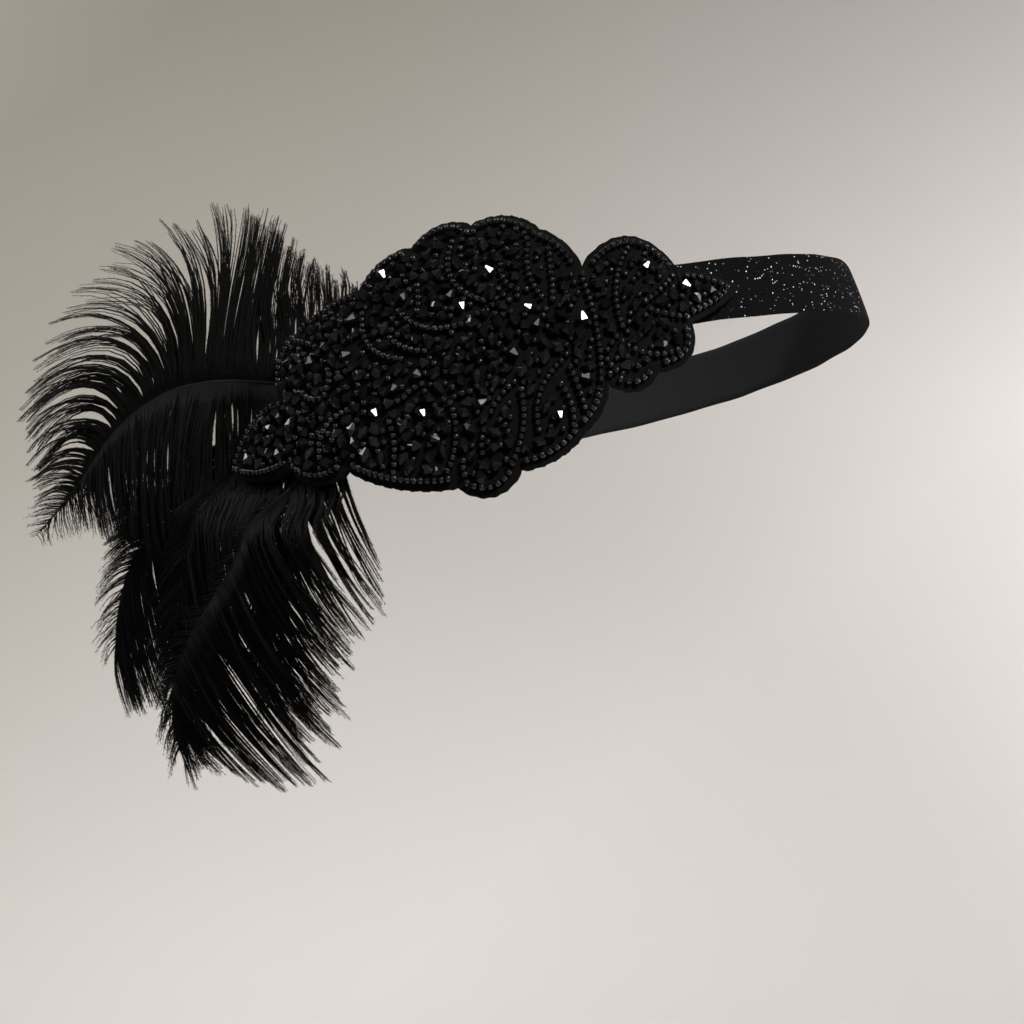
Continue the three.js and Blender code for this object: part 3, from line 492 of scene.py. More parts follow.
def inside_by(spots):
    """How far each place on the patch lies inside the felt's outline, negative outside it.

    The distance to the nearest outline place, signed by how often a level line crosses the outline.
    """
    far = np.hypot(spots[:, None, 0] - FELT_OUTLINE[:, 0], spots[:, None, 1] - FELT_OUTLINE[:, 1])
    ahead = np.roll(FELT_OUTLINE, -1, axis=0)
    rise = ahead[:, 1] - FELT_OUTLINE[:, 1]
    part = (spots[:, None, 1] - FELT_OUTLINE[:, 1]) / np.where(rise == 0, 1, rise)
    level = (FELT_OUTLINE[:, 1] > spots[:, None, 1]) != (ahead[:, 1] > spots[:, None, 1])
    reach = FELT_OUTLINE[:, 0] + part * (ahead[:, 0] - FELT_OUTLINE[:, 0])
    crossed = np.sum(level & (spots[:, None, 0] < reach), axis=1) % 2
    return np.min(far, axis=1) * np.where(crossed == 1, 1, -1)


def strung(line, pitch):
    """Evenly spaced places along a line, with the way the line runs there."""
    step = np.hypot(*np.diff(line, axis=0).T)
    length = np.concatenate([[0], np.cumsum(step)])
    count = max(int(length[-1] / pitch), 1)
    stops = (np.arange(count) + 0.5) * length[-1] / count
    spots = np.stack([np.interp(stops, length, line[:, axis]) for axis in (0, 1)], axis=-1)
    ways = np.stack([np.interp(stops, (length[1:] + length[:-1]) / 2, np.diff(line[:, axis]) / step)
                     for axis in (0, 1)], axis=-1)
    return spots, ways / np.hypot(ways[:, 0], ways[:, 1])[:, None]


def arc_line(row):
    """The chord of a row, swollen to the left of its way by a parabola."""
    scale = np.array([FELT_LENGTH, FELT_WIDTH])
    start, end = row[:2] * scale, row[2:4] * scale
    way = (end - start) / np.hypot(*(end - start))
    part = np.linspace(0, 1, 40)[:, None]
    swell = row[4] * FELT_WIDTH * 4 * part * (1 - part)
    return start + (end - start) * part + np.array([-way[1], way[0]]) * swell


def rim_line(edge, side, index):
    """One scallop of the rim, moved in from the felt's edge by RIM_MARGIN, square to itself."""
    share = np.linspace(edge[index, 0] + 0.002, edge[index + 1, 0] - 0.002, 50)
    line = edge_line(edge, side, share)
    way = np.gradient(line, axis=0)
    way /= np.hypot(way[:, 0], way[:, 1])[:, None]
    return line + np.stack([way[:, 1], -way[:, 0]], axis=-1) * side * RIM_MARGIN


def thinned(spots, ways, clearance):
    """Keeps each bead that is clear of all the beads kept before it."""
    kept = []
    for index in range(len(spots)):
        gap = np.hypot(*(spots[kept] - spots[index]).T) if kept else np.array([np.inf])
        if gap.min() > clearance:
            kept.append(index)
    return spots[kept], ways[kept]


def copies(template, centres, axes, scales):
    """A small mesh set at many centres: its three axes are given for each copy, in metres."""
    places = centres[:, None] + np.einsum("vk,nkc->nvc", template, axes) * scales[:, None, None]
    return places.reshape(-1, 3)


def repeated(faces, count, size):
    """The faces of that many copies of a mesh of that many places."""
    return (faces[None] + np.arange(count)[:, None, None] * size).reshape(-1, faces.shape[1])


def patch_axes(spots, ways, w):
    """For each place: its way on the surface, the way beside it, and the way out from the head."""
    side = np.stack([-ways[:, 1], ways[:, 0]], axis=-1)
    step = 0.3
    ahead, back = spots + ways * step, spots - ways * step
    left, right = spots + side * step, spots - side * step
    first = on_patch(*ahead.T, w) - on_patch(*back.T, w)
    second = on_patch(*left.T, w) - on_patch(*right.T, w)
    first /= np.linalg.norm(first, axis=1)[:, None]
    out = np.cross(first, second)
    out /= np.linalg.norm(out, axis=1)[:, None]
    out *= np.sign(np.sum(out * (on_patch(*spots.T, w + 1) - on_patch(*spots.T, w)), axis=1))[:, None]
    return np.stack([first, np.cross(out, first), out], axis=1)


def ring_bead(sides, steps):
    """A bead as a ring: an oval, carried round the hole, which runs along the first axis."""
    turn = np.linspace(0, 2 * np.pi, sides, endpoint=False)[:, None]
    round_ = np.linspace(0, 2 * np.pi, steps, endpoint=False)[None, :]
    wall = (BEAD_WIDTH - BEAD_HOLE) / 4
    radius = BEAD_HOLE / 2 + wall + wall * np.cos(round_)
    x = BEAD_LENGTH / 2 * np.sin(round_) + 0 * turn
    places = np.stack([x, radius * np.cos(turn), radius * np.sin(turn)], axis=-1)
    faces = grid_faces(sides + 1, steps, wrap=True) % (sides * steps)
    return places.reshape(-1, 3), faces[:, ::-1]


row_lines = [rim_line(UPPER_EDGE, 1, index) for index in range(len(UPPER_EDGE) - 1)]
row_lines += [rim_line(LOWER_EDGE, -1, index) for index in range(len(LOWER_EDGE) - 1)]
row_lines += [arc_line(row) for row in BEAD_ROWS]
row_beads = [strung(line, BEAD_PITCH) for line in row_lines]
row_spots = np.concatenate([beads[0] for beads in row_beads])
row_ways = np.concatenate([beads[1] for beads in row_beads])
well_inside = inside_by(row_spots) > ROW_EDGE_MARGIN
row_spots, row_ways = thinned(row_spots[well_inside], row_ways[well_inside],
                               BEAD_PITCH * ROW_CROSSING)

# Between the rows the crystals are sewn as close as they fit, and loose beads fill what is left.
# Each has a pitch, a random wander, a margin to the felt's edge and its clearances, all between
# middles: to the beads in rows, to its own kind and, for the loose beads, to the crystals.
CRYSTAL_WIDTH = 3.4
CRYSTAL_PITCH = 2.6
CRYSTAL_WANDER = 0.7
CRYSTAL_EDGE_MARGIN = 3.6
CRYSTAL_TO_ROW = 2.3
CRYSTAL_TO_CRYSTAL = 3.0
LOOSE_PITCH = 2
LOOSE_WANDER = 0.6
LOOSE_EDGE_MARGIN = 2.4
LOOSE_TO_ROW = 1.9
LOOSE_TO_CRYSTAL = 2.0
LOOSE_TO_LOOSE = 2.1


def scattered(pitch, wander):
    """Staggered places over the whole patch, each moved a little at random."""
    rows = np.arange(-60, 60)
    columns = np.arange(0, int(FELT_LENGTH / pitch) + 2)
    along = columns[None, :] * pitch + (rows[:, None] % 2) * pitch / 2
    across = rows[:, None] * pitch * 0.87 + 0 * along
    spots = np.stack([along, across], axis=-1).reshape(-1, 2)
    return spots + chance.uniform(-wander, wander, spots.shape)


def clear_of(spots, others, clearance):
    """Which places are farther than a clearance from all the others."""
    gap = np.hypot(spots[:, None, 0] - others[:, 0], spots[:, None, 1] - others[:, 1])
    return gap.min(axis=1) > clearance


def random_ways(count):
    """Directions on the patch at random."""
    angle = chance.uniform(0, 2 * np.pi, count)
    return np.stack([np.cos(angle), np.sin(angle)], axis=-1)


crystal_spots = scattered(CRYSTAL_PITCH, CRYSTAL_WANDER)
crystal_spots = crystal_spots[inside_by(crystal_spots) > CRYSTAL_EDGE_MARGIN]
crystal_spots = crystal_spots[clear_of(crystal_spots, row_spots, CRYSTAL_TO_ROW)]
crystal_ways = random_ways(len(crystal_spots))
crystal_spots, crystal_ways = thinned(crystal_spots, crystal_ways, CRYSTAL_TO_CRYSTAL)
loose_spots = scattered(LOOSE_PITCH, LOOSE_WANDER)
loose_spots = loose_spots[inside_by(loose_spots) > LOOSE_EDGE_MARGIN]
loose_spots = loose_spots[clear_of(loose_spots, row_spots, LOOSE_TO_ROW)]
loose_spots = loose_spots[clear_of(loose_spots, crystal_spots, LOOSE_TO_CRYSTAL)]
loose_spots, loose_ways = thinned(loose_spots, random_ways(len(loose_spots)), LOOSE_TO_LOOSE)

seed_spots = np.concatenate([row_spots, loose_spots])
seed_ways = np.concatenate([row_ways, loose_ways])
seed_ways = seed_ways + chance.normal(0, 0.12, seed_ways.shape)
seed_ways /= np.hypot(seed_ways[:, 0], seed_ways[:, 1])[:, None]
seed_height = FELT_OUTER + BEAD_WIDTH / 2 + chance.uniform(-0.1, 0.25, len(seed_spots))
seed_height[:len(row_spots)] += ROW_RAISE

black_glass, add, shader = new_material("black_glass")
spot = add("TexCoord").outputs["Object"]
tone = add("Attribute", attribute_name="tone", attribute_type="GEOMETRY")
colour = add("ValToRGB", {"Fac": tone.outputs["Fac"]})
colour.color_ramp.elements[0].color = (0.002, 0.002, 0.002, 1)
colour.color_ramp.elements[1].color = (0.006, 0.006, 0.007, 1)
smear = add("TexNoise", {"Vector": spot, "Scale": 400.0, "Detail": 2.0})
gloss = add("MapRange", {"Value": smear.outputs["Fac"], "To Min": 0.02, "To Max": 0.08})
feed(black_glass, shader, Base_Color=colour.outputs["Color"], Roughness=gloss.outputs["Result"],
     IOR=1.5, Specular_IOR_Level=0.38)
bead_places, bead_faces = ring_bead(8, 6)
axes = patch_axes(seed_spots, seed_ways, seed_height) * MM
centres = on_patch(*seed_spots.T, seed_height)
sizes = chance.uniform(0.94, 1.05, len(seed_spots))
places = copies(bead_places, centres, axes, sizes)
faces = repeated(bead_faces, len(centres), len(bead_places))
tones = np.repeat(chance.uniform(0, 1, len(centres)), len(bead_places))
seed_beads = mesh_piece("seed_beads", places, faces, black_glass, tone=tones)
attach(seed_beads, "root")
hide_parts("beadwork")

# The crystals: black glass bicones, six facets to each end, sewn down on their sides, so that
# here and there a facet throws the light back.
# The cone's half length, end and belt are shares of half the crystal's width.
CRYSTAL_HALF_LENGTH = 1.2
CRYSTAL_END = 0.3
CRYSTAL_BELT = 0.05
BRIGHT_RAISE = 0.6
# Where the ones lie that throw the light back: along and across, as shares of the patch. The
# first KEY_FACETS of them catch the key lamp, the rest the weaker side lamp.
BRIGHT_SPOTS = np.array([
    (0.533, 0.046), (0.638, -0.027), (0.898, -0.060), (0.434, -0.278), (0.590, 0.139),
    (0.717, -0.110), (0.641, -0.407), (0.402, 0.268), (0.842, 0.025), (0.354, -0.222),
    (0.341, 0.143), (0.699, -0.309), (0.645, -0.094), (0.599, -0.169), (0.439, 0.149),
    (0.319, 0.018), (0.518, 0.094), (0.243, 0.057), (0.399, -0.164), (0.441, -0.143)])
KEY_FACETS = 10


def bicone():
    """Two six-sided cones base to base with flat ends, unshared so that every facet is flat."""
    turn = np.linspace(0, 2 * np.pi, 6, endpoint=False)
    rings = [np.stack([np.full(6, x), r * np.cos(turn), r * np.sin(turn)], axis=-1)
             for x, r in ((-CRYSTAL_HALF_LENGTH, CRYSTAL_END), (-CRYSTAL_BELT, 1),
                          (CRYSTAL_BELT, 1), (CRYSTAL_HALF_LENGTH, CRYSTAL_END))]
    places = np.concatenate(rings)
    faces = grid_faces(4, 6, wrap=True)
    ends = np.array([(3, 2, 1, 0), (5, 4, 3, 0), (18, 19, 20, 21), (18, 21, 22, 23)])
    faces = np.concatenate([faces, ends])
    return places[faces].reshape(-1, 3), np.arange(faces.size).reshape(-1, 4)


def facet_normal():
    """The way out from one facet: ahead by what the cone narrows, outwards by its length."""
    ahead = (1 - CRYSTAL_END) * math.cos(math.pi / 6)
    outwards = CRYSTAL_HALF_LENGTH - CRYSTAL_BELT
    normal = np.array([ahead, outwards * math.cos(math.pi / 6), outwards * math.sin(math.pi / 6)])
    return normal / np.linalg.norm(normal)


def leant_and_rolled(axes, lean, roll):
    """Axes with the first leant outwards by a share of the third, then turned about the first."""
    cosine, sine = np.cos(roll)[:, None], np.sin(roll)[:, None]
    first = axes[:, 0] + lean[:, None] * axes[:, 2]
    first /= np.linalg.norm(first, axis=1)[:, None]
    second = np.cross(axes[:, 2], first)
    third = np.cross(first, second)
    return np.stack([first, second * cosine + third * sine, third * cosine - second * sine], axis=1)


def mirror_ways(centres):
    """The way half way between the lamp and the camera, in which a facet throws the light back."""
    lamps = np.where(np.arange(len(centres))[:, None] < KEY_FACETS, KEY_LAMP, SIDE_LAMP)
    to_lamp = lamps - centres
    to_eye = np.array(camera.location) - centres
    half_way = to_lamp / np.linalg.norm(to_lamp, axis=1)[:, None]
    half_way += to_eye / np.linalg.norm(to_eye, axis=1)[:, None]
    return half_way / np.linalg.norm(half_way, axis=1)[:, None]


def turned_to(axes, facet, towards):
    """Axes turned by the shortest turn that brings a facet's normal to a direction.

    The turn is 1 + K + K squared / (1 + cosine), where K crosses a place with the turn's pole.
    """
    normal = np.einsum("k,nkc->nc", facet, axes)
    normal /= np.linalg.norm(normal, axis=1)[:, None]
    pole = np.cross(normal, towards)
    cosine = np.sum(normal * towards, axis=1)[:, None, None]
    cross = np.zeros((len(axes), 3, 3))
    cross[:, 0, 1], cross[:, 0, 2], cross[:, 1, 2] = -pole[:, 2], pole[:, 1], -pole[:, 0]
    cross -= np.transpose(cross, (0, 2, 1))
    turn = np.eye(3) + cross + cross @ cross / (1 + cosine)
    return np.einsum("nij,nkj->nki", turn, axes)


bright_spots = BRIGHT_SPOTS * (FELT_LENGTH, FELT_WIDTH)
away = clear_of(crystal_spots, bright_spots, CRYSTAL_TO_CRYSTAL)
crystal_spots = np.concatenate([bright_spots, crystal_spots[away]])
crystal_ways = np.concatenate([random_ways(len(bright_spots)), crystal_ways[away]])
count = len(crystal_spots)
crystal_height = FELT_OUTER + CRYSTAL_WIDTH * 0.46 + chance.uniform(-0.3, 0.3, count)
bright = len(bright_spots)
crystal_height[:bright] += BRIGHT_RAISE
flat_axes = patch_axes(crystal_spots, crystal_ways, crystal_height)
roll = chance.uniform(0, 2 * np.pi, count)
lean = chance.normal(0, 0.16, count)
axes = leant_and_rolled(flat_axes, lean, roll)
centres = on_patch(*crystal_spots.T, crystal_height)
axes[:bright] = turned_to(flat_axes[:bright], facet_normal(), mirror_ways(centres[:bright]))

cut_glass, add, shader = new_material("cut_glass")
spot = add("TexCoord").outputs["Object"]
tone = add("Attribute", attribute_name="tone", attribute_type="GEOMETRY")
colour = add("ValToRGB", {"Fac": tone.outputs["Fac"]})
colour.color_ramp.elements[0].color = (0.003, 0.003, 0.003, 1)
colour.color_ramp.elements[1].color = (0.012, 0.012, 0.013, 1)
colour.color_ramp.elements.new(0.85).color = (0.006, 0.0055, 0.0065, 1)
smear = add("TexNoise", {"Vector": spot, "Scale": 500.0, "Detail": 2.0})
gloss = add("MapRange", {"Value": smear.outputs["Fac"], "To Min": 0.03, "To Max": 0.14})
feed(cut_glass, shader, Base_Color=colour.outputs["Color"], Roughness=gloss.outputs["Result"],
     IOR=1.5, Specular_IOR_Level=0.2)
crystal_places, crystal_faces = bicone()
sizes = chance.uniform(0.8, 1.05, count) * CRYSTAL_WIDTH / 2
places = copies(crystal_places, centres, axes * MM, sizes)
faces = repeated(crystal_faces, count, len(crystal_places))
tones = np.repeat(chance.uniform(0, 1, count), len(crystal_places))
crystals = mesh_piece("crystals", places, faces, cut_glass, smooth=False, tone=tones)
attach(crystals, "root")
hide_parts("beadwork")

# The plumes: five black ostrich plumes. Each has a thin quill, held between the elastic and the
# felt, and on both its sides long loose barbs, feathered with fine barbules, that hang together in
# small pointed wisps.
QUILL_HEIGHT = 2.6
QUILL_WIDTH = 1.4
QUILL_TIP_WIDTH = 0.45
PLUME_LAYER = 4.5
LAYER_RUN = 18
BARB_PITCH = 0.175
BARB_STATIONS = 9
BARB_WIDTH = 1.15
BARB_FLATNESS = 0.35
BARBULE_PITCH = 1.35
BARBULE_LENGTH = 2.5
BARBULE_WIDTH = 0.3
WISP_BARBS = 4
LOCK_BARBS = 18
# The way that the plumes' faces look, which flat barbs and barbules lie square to.
PLUME_FACE = np.array([0.31, -0.93, 0.2])
# Barbs grow at their full density from about this length on, and shorter ones more thinly.
FULL_GROWTH = 26
LEAST_GROWTH = 0.12
# The range of lengths of locks, wisps and barbs, as shares, and the degrees by which they bend.
LOCK_LENGTHS = (0.93, 1.05)
WISP_LENGTHS = (0.92, 1.06)
BARB_LENGTHS = (0.88, 1)
LOCK_BEND = 1.2
WISP_BEND = 1.8
BARB_BEND = 1
LOCK_PULL = 0.08
WISP_STRAY = 1.8
BARB_STRAY = 1.5
STRAY_RISE = 0.8
# Every barb waves by some degrees, a short one by more, and wisps on longer barbs close later.
WISP_WAVE = 3
SHORT_BARB_WAVE = 60
FULL_CLOSING_LENGTH = 30
CLOSING_POWER = 0.7
CLOSING_DELAY = 35
# A barb loses this share of its width by its tip, and a short one starts out narrower.
BARB_TAPER = 0.88
LEAST_BARB_WIDTH = 0.3
FULL_WIDTH_LENGTH = 40
BARBULE_SCATTER = 0.45
BARBULE_AHEAD = 0.9
BARBULE_ASIDE = 0.43
# The quill's tone, higher than any barb's, paints it lighter in the feathers' colour ramp: a painted
# highlight along the shaft.
QUILL_PAINTED_HIGHLIGHT_TONE = 1.15
BARBULE_TONE = 0.5
# A plume's root is along and across the patch (shares), its layer counts steps out from the head,
# and closing and fullness say how far wisps close and how thickly barbs grow, outer side first.
# Each row of a vane: the place on the quill (share of its length) and the quill's heading there,
# then for the outer and the inner barbs their length (share of the longest) and the headings
# with which they leave and end. 90 is up, 180 is backwards and 270 is down.
PLUMES = {
    "plume_upper": dict(root=(0.319, -0.104), layer=1, length=152, barb=72, closing=(0.75, 0.25),
                        fullness=(1, 1), vane=np.array([
        (0, 165, 0.5, 88, 100, 0.3, 262, 268), (0.15, 168, 0.52, 88, 96, 0.6, 262, 268),
        (0.3, 170, 0.78, 89, 102, 0.75, 262, 270), (0.4, 172, 1, 90, 112, 0.85, 262, 275),
        (0.5, 181, 1.12, 94, 152, 0.85, 265, 280), (0.61, 203, 0.92, 108, 212, 0.75, 268, 285),
        (0.74, 230, 0.5, 125, 235, 0.5, 275, 288), (0.83, 232, 0.32, 150, 205, 0.24, 278, 286),
        (0.9, 220, 0.2, 165, 195, 0.17, 274, 280), (1, 219, 0.05, 185, 200, 0.05, 262, 270)])),
    "plume_back": dict(root=(0.161, -0.197), layer=0, length=108, barb=50, closing=(0.5, 0.4),
                       fullness=(0.85, 0.85), vane=np.array([
        (0, 198, 0.95, 150, 186, 0.5, 275, 285), (0.15, 195, 0.95, 150, 190, 0.7, 275, 285),
        (0.35, 192, 0.85, 155, 198, 0.8, 272, 285), (0.5, 196, 0.7, 160, 206, 0.95, 272, 285),
        (0.65, 212, 0.4, 172, 218, 1, 268, 285), (0.82, 246, 0.28, 190, 230, 0.8, 268, 284),
        (1, 260, 0.2, 215, 245, 0.45, 268, 282)])),
    "plume_middle": dict(root=(0.224, -0.082), layer=2, length=128, barb=45, closing=(0.6, 0.6),
                         fullness=(1, 0.75), vane=np.array([
        (0, 190, 0, 205, 240, 0.7, 282, 275), (0.2, 200, 0.1, 205, 240, 0.9, 282, 275),
        (0.38, 244, 0.5, 205, 240, 1, 286, 274), (0.5, 249, 0.55, 205, 240, 1, 288, 272),
        (0.7, 250, 0.46, 205, 240, 0.8, 284, 274), (1, 258, 0.25, 222, 250, 0.3, 278, 278)])),
    "plume_long": dict(root=(0.248, -0.162), layer=3, length=115, barb=68, closing=(0.6, 0.8),
                       fullness=(0.8, 0.6), vane=np.array([
        (0, 224, 0, 190, 180, 0.4, 285, 300), (0.12, 237, 0, 190, 180, 0.7, 287, 306),
        (0.28, 247, 0.12, 190, 180, 0.85, 290, 312), (0.45, 218, 0.13, 188, 178, 0.84, 293, 315),
        (0.65, 214, 0.14, 186, 176, 0.9, 296, 317), (0.78, 228, 0.14, 186, 178, 0.78, 298, 318),
        (0.9, 249, 0.12, 190, 186, 0.46, 299, 320), (1, 262, 0.05, 215, 225, 0.12, 290, 305)])),
    "plume_inner": dict(root=(0.262, -0.284), layer=0, length=80, barb=50, closing=(0.5, 0.65),
                        fullness=(0.7, 0.45), vane=np.array([
        (0, 228, 0, 215, 245, 0.75, 291, 297), (0.2, 218, 0.2, 215, 245, 0.82, 289, 309),
        (0.45, 226, 0.5, 215, 248, 0.88, 288, 314), (0.65, 250, 0.5, 225, 254, 0.78, 286, 311),
        (1, 262, 0.3, 238, 260, 0.42, 284, 304)])),
}


def lay_to_patch(q, z):
    """Millimetres along and across the patch from lay coordinates."""
    tilt = math.radians(FELT_TILT)
    ahead = z * math.sin(tilt) - q * math.cos(tilt)
    return np.stack([ahead - FELT_FRONT + FELT_LENGTH, q * math.sin(tilt) + z * math.cos(tilt)], axis=-1)


def plume_height(q, z, layer):
    """Flat behind the patch, and rising to the plume's own layer with the distance from it."""
    spots = lay_to_patch(q.ravel(), z.ravel())
    outside = np.maximum(-inside_by(spots), 0).reshape(q.shape)
    clear = eased(outside / LAYER_RUN)
    return QUILL_HEIGHT + clear * layer * PLUME_LAYER, clear


def quill_line(plume):
    """The quill's lay coordinates every half millimetre, by adding up its heading."""
    at = np.linspace(0, 1, int(plume["length"] * 2) + 1)
    heading = np.radians(np.interp(at, plume["vane"][:, 0], plume["vane"][:, 1]))
    step = plume["length"] / (len(at) - 1)
    q0, z0 = patch_to_lay(plume["root"][0] * FELT_LENGTH, plume["root"][1] * FELT_WIDTH)
    return at, q0 - running_sum(np.cos(heading), step), z0 + running_sum(np.sin(heading), step)


def tubes(line, width, sides, flatness=1):
    """A tube of a few sides round each of many lines (n, stations, 3), by their widths.

    Each ring is the line's place plus half the width times the cosine of a turn beside the line and
    its sine, times the flatness, above it. A fan of triangles closes each end.
    """
    way = np.gradient(line, axis=1)
    way /= np.linalg.norm(way, axis=2, keepdims=True) + 1e-12
    beside = np.cross(way, PLUME_FACE)
    beside /= np.linalg.norm(beside, axis=2, keepdims=True)
    above = np.cross(way, beside)
    turn = np.linspace(0, 2 * np.pi, sides, endpoint=False)
    ring = beside[:, :, None] * np.cos(turn)[:, None]
    ring = ring + above[:, :, None] * np.sin(turn)[:, None] * flatness
    places = line[:, :, None] + ring * width[..., None, None] / 2
    count, stations = line.shape[:2]
    quads = grid_faces(stations, sides, wrap=True)
    near, far = np.arange(1, sides - 1), (stations - 1) * sides
    root_cap = np.stack([0 * near, near + 1, near], axis=-1)
    tip_cap = np.stack([0 * near, near, near + 1], axis=-1) + far
    faces = np.concatenate([quads[:, :3], quads[:, [0, 2, 3]], root_cap, tip_cap])
    return places.reshape(-1, 3), repeated(faces, count, stations * sides)


def grouped(count, members):
    """Numbers barbs in a row by group, with about so many members to each group."""
    return np.cumsum(chance.uniform(0.4, 1.6, count) / members).astype(int)


def drawn(line, group, pull):
    """Moves each barb towards the middle of its group, by a share of the way for each station."""
    members = np.bincount(group)
    middle = np.stack([np.bincount(group, column) / members for column in line.T], axis=1)
    return line + (middle[group] - line) * pull


def barb_lines(plume, column):
    """Lay coordinates of every barb on one side, in wisps that come together at their tips.

    Each barb adds up a heading that turns evenly from leaving to ending, with a slight wave that
    its wisp shares; its height strays. Wisps close late on long barbs and early on short ones.
    """
    at, quill_q, quill_z = quill_line(plume)
    count = int(plume["length"] / BARB_PITCH)
    start = np.clip((np.arange(count) + chance.uniform(0, 1, count)) / count, 0, 1)
    vane = plume["vane"]
    length, leave, end = (np.interp(start, vane[:, 0], vane[:, column + k]) for k in range(3))
    side = 0 if column == 2 else 1
    density = np.minimum(LEAST_GROWTH + (length * plume["barb"] / FULL_GROWTH) ** 2, 1) * (length > 0.04)
    density = density * plume["fullness"][side]
    grown = np.diff(np.floor(np.cumsum(density)), prepend=0) > 0
    start, length, leave, end = start[grown], length[grown], leave[grown], end[grown]
    count = len(start)
    wisp, lock = grouped(count, WISP_BARBS), grouped(count, LOCK_BARBS)
    length = length * plume["barb"] * chance.uniform(*LOCK_LENGTHS, lock[-1] + 1)[lock]
    length = length * chance.uniform(*WISP_LENGTHS, wisp[-1] + 1)[wisp]
    length = length * chance.uniform(*BARB_LENGTHS, count)
    part = np.linspace(0, 1, BARB_STATIONS)
    bend = chance.normal(0, WISP_BEND, wisp[-1] + 1)[wisp]
    bend = bend + chance.normal(0, LOCK_BEND, lock[-1] + 1)[lock]
    bend = bend[:, None] * part ** 2 + chance.normal(0, BARB_BEND, count)[:, None]
    wave = chance.normal(0, 1, wisp[-1] + 1)[wisp] * (WISP_WAVE + SHORT_BARB_WAVE / length)
    wave = wave[:, None] * np.sin(2 * np.pi * part)
    heading = np.radians(leave[:, None] + (end - leave)[:, None] * part + bend + wave)
    step = length[:, None] / (BARB_STATIONS - 1)
    gone_q = np.cumsum(np.cos(heading), axis=1) - np.cos(heading[:, :1])
    gone_z = np.cumsum(np.sin(heading), axis=1) - np.sin(heading[:, :1])
    q = np.interp(start, at, quill_q)[:, None] - gone_q * step
    z = np.interp(start, at, quill_z)[:, None] + gone_z * step
    closing = plume["closing"][side] * np.minimum(length / FULL_CLOSING_LENGTH, 1)
    close = closing[:, None] * part ** (CLOSING_POWER + length[:, None] / CLOSING_DELAY)
    pull = LOCK_PULL * part ** 1.5
    q = drawn(drawn(q, lock, pull), wisp, close)
    z = drawn(drawn(z, lock, pull), wisp, close)
    stray = chance.normal(0, WISP_STRAY, wisp[-1] + 1)[wisp][:, None] * part ** STRAY_RISE
    own = chance.normal(0, BARB_STRAY, count)[:, None] * (part ** STRAY_RISE - close * 0.8)
    return q, z, stray + own


def barbules(line):
    """Fine flat spikes, in pairs all along each barb, that lean towards its tip.

    Each is a triangle: a foot on the barb's line and a tip ahead of it and to one side.
    """
    length = np.linalg.norm(line[:, -1] - line[:, 0], axis=1)
    pairs = np.maximum((length / MM / BARBULE_PITCH).astype(int), 2)
    barb = np.repeat(np.arange(len(line)), pairs * 2)
    order = np.arange(len(barb)) - np.repeat(np.cumsum(pairs * 2) - pairs * 2, pairs * 2)
    part = (order // 2 + chance.uniform(0, 1, len(barb))) / np.repeat(pairs, pairs * 2)
    side = np.where(order % 2 == 0, 1.0, -1.0)
    place = np.clip(part * 0.97 + 0.02, 0, 1) * (BARB_STATIONS - 1)
    index = np.minimum(place.astype(int), BARB_STATIONS - 2)
    share = (place - index)[:, None]
    root = line[barb, index] * (1 - share) + line[barb, index + 1] * share
    way = line[barb, index + 1] - line[barb, index]
    way /= np.linalg.norm(way, axis=1)[:, None] + 1e-12
    across = np.cross(way, PLUME_FACE + chance.normal(0, BARBULE_SCATTER, (len(barb), 3)))
    across /= np.linalg.norm(across, axis=1)[:, None]
    reach = BARBULE_LENGTH * MM * (1 - 0.5 * part) * chance.uniform(0.6, 1.1, len(barb))
    lean = way * BARBULE_AHEAD + across * side[:, None] * BARBULE_ASIDE
    tip = root + lean * reach[:, None]
    foot = way * BARBULE_WIDTH * MM / 2
    places = np.stack([root - foot, root + foot, tip], axis=1).reshape(-1, 3)
    return places, np.arange(len(places)).reshape(-1, 3)


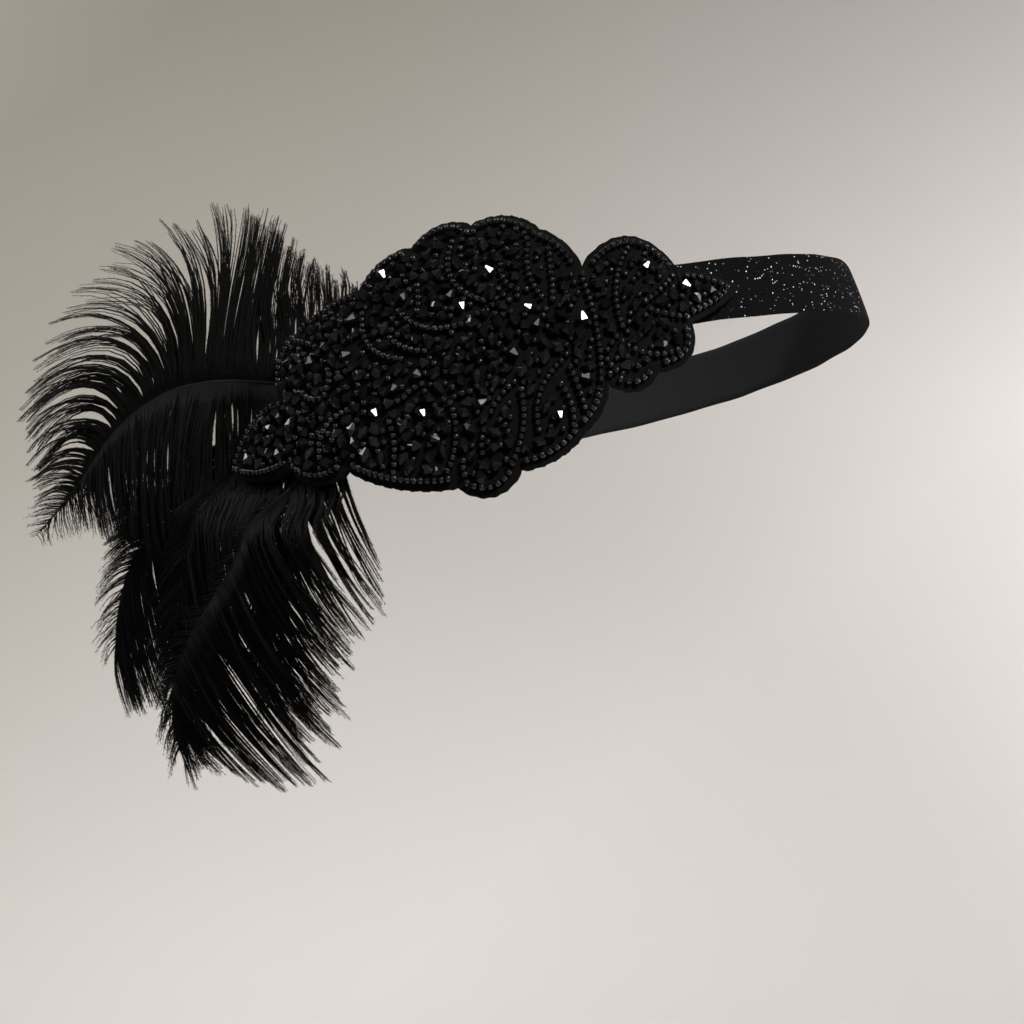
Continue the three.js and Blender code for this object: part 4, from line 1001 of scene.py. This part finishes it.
ostrich, add, shader = new_material("ostrich_barbs")
spot = add("TexCoord").outputs["Object"]
tone = add("Attribute", attribute_name="tone", attribute_type="GEOMETRY")
streak = add("TexNoise", {"Vector": spot, "Scale": 120.0, "Detail": 3.0})
both = add("Math", {0: tone.outputs["Fac"], 1: streak.outputs["Fac"]}, operation="MULTIPLY")
colour = add("ValToRGB", {"Fac": both.outputs[0]})
colour.color_ramp.elements[0].color = (0.002, 0.002, 0.002, 1)
colour.color_ramp.elements[1].color = (0.040, 0.037, 0.034, 1)
colour.color_ramp.elements.new(0.6).color = (0.005, 0.0048, 0.0045, 1)
gloss = add("MapRange", {"Value": streak.outputs["Fac"], "To Min": 0.42, "To Max": 0.7})
feed(ostrich, shader, Base_Color=colour.outputs["Color"], Roughness=gloss.outputs["Result"],
     Specular_IOR_Level=0.04)


def quill_strand(plume):
    """The quill as a round tube that narrows evenly to its tip: places, faces and tones."""
    at, quill_q, quill_z = (column[::6] for column in quill_line(plume))
    quill_w, _ = plume_height(quill_q, quill_z, plume["layer"])
    line = on_lay(quill_q, quill_z, quill_w)[None]
    width = (QUILL_WIDTH + (QUILL_TIP_WIDTH - QUILL_WIDTH) * at)[None] * MM
    places, faces = tubes(line, width, 8)
    # The higher tone paints the quill lighter than the barbs, as a painted highlight along the shaft.
    return places, faces, np.full(len(places), QUILL_PAINTED_HIGHLIGHT_TONE)


def vane_strands(plume, column):
    """The barbs on one side, each a flat tube that narrows to its tip, and then their barbules."""
    q, z, stray = barb_lines(plume, column)
    w, clear = plume_height(q, z, plume["layer"])
    line = on_lay(q, z, w + stray * clear)
    part = np.linspace(0, 1, BARB_STATIONS)
    reach = np.linalg.norm(line[:, -1] - line[:, 0], axis=1)[:, None] / MM
    width = LEAST_BARB_WIDTH + (1 - LEAST_BARB_WIDTH) * np.minimum(reach / FULL_WIDTH_LENGTH, 1)
    width = BARB_WIDTH * MM * (1 - BARB_TAPER * part ** 0.7) * width
    tones = chance.uniform(0.2, 1, len(line))
    places, faces = tubes(line, width, 3, BARB_FLATNESS)
    spikes, spike_faces = barbules(line)
    return [(places, faces, np.repeat(tones, BARB_STATIONS * 3)),
            (spikes, spike_faces, np.full(len(spikes), BARBULE_TONE))]


def joined(strands):
    """One mesh of many: places, faces and tones end to end, with the faces' numbers moved on."""
    places, faces, tones = zip(*strands)
    before = np.cumsum([0] + [len(group) for group in places[:-1]])
    faces = [group + first for group, first in zip(faces, before)]
    return np.concatenate(places), np.concatenate(faces), np.concatenate(tones)


for name, plume in PLUMES.items():
    strands = [quill_strand(plume), *vane_strands(plume, 2), *vane_strands(plume, 5)]
    places, faces, tones = joined(strands)
    made = mesh_piece(name + "_barbs", places, faces, ostrich, tone=tones)
    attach(made, "root")
    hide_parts(name)
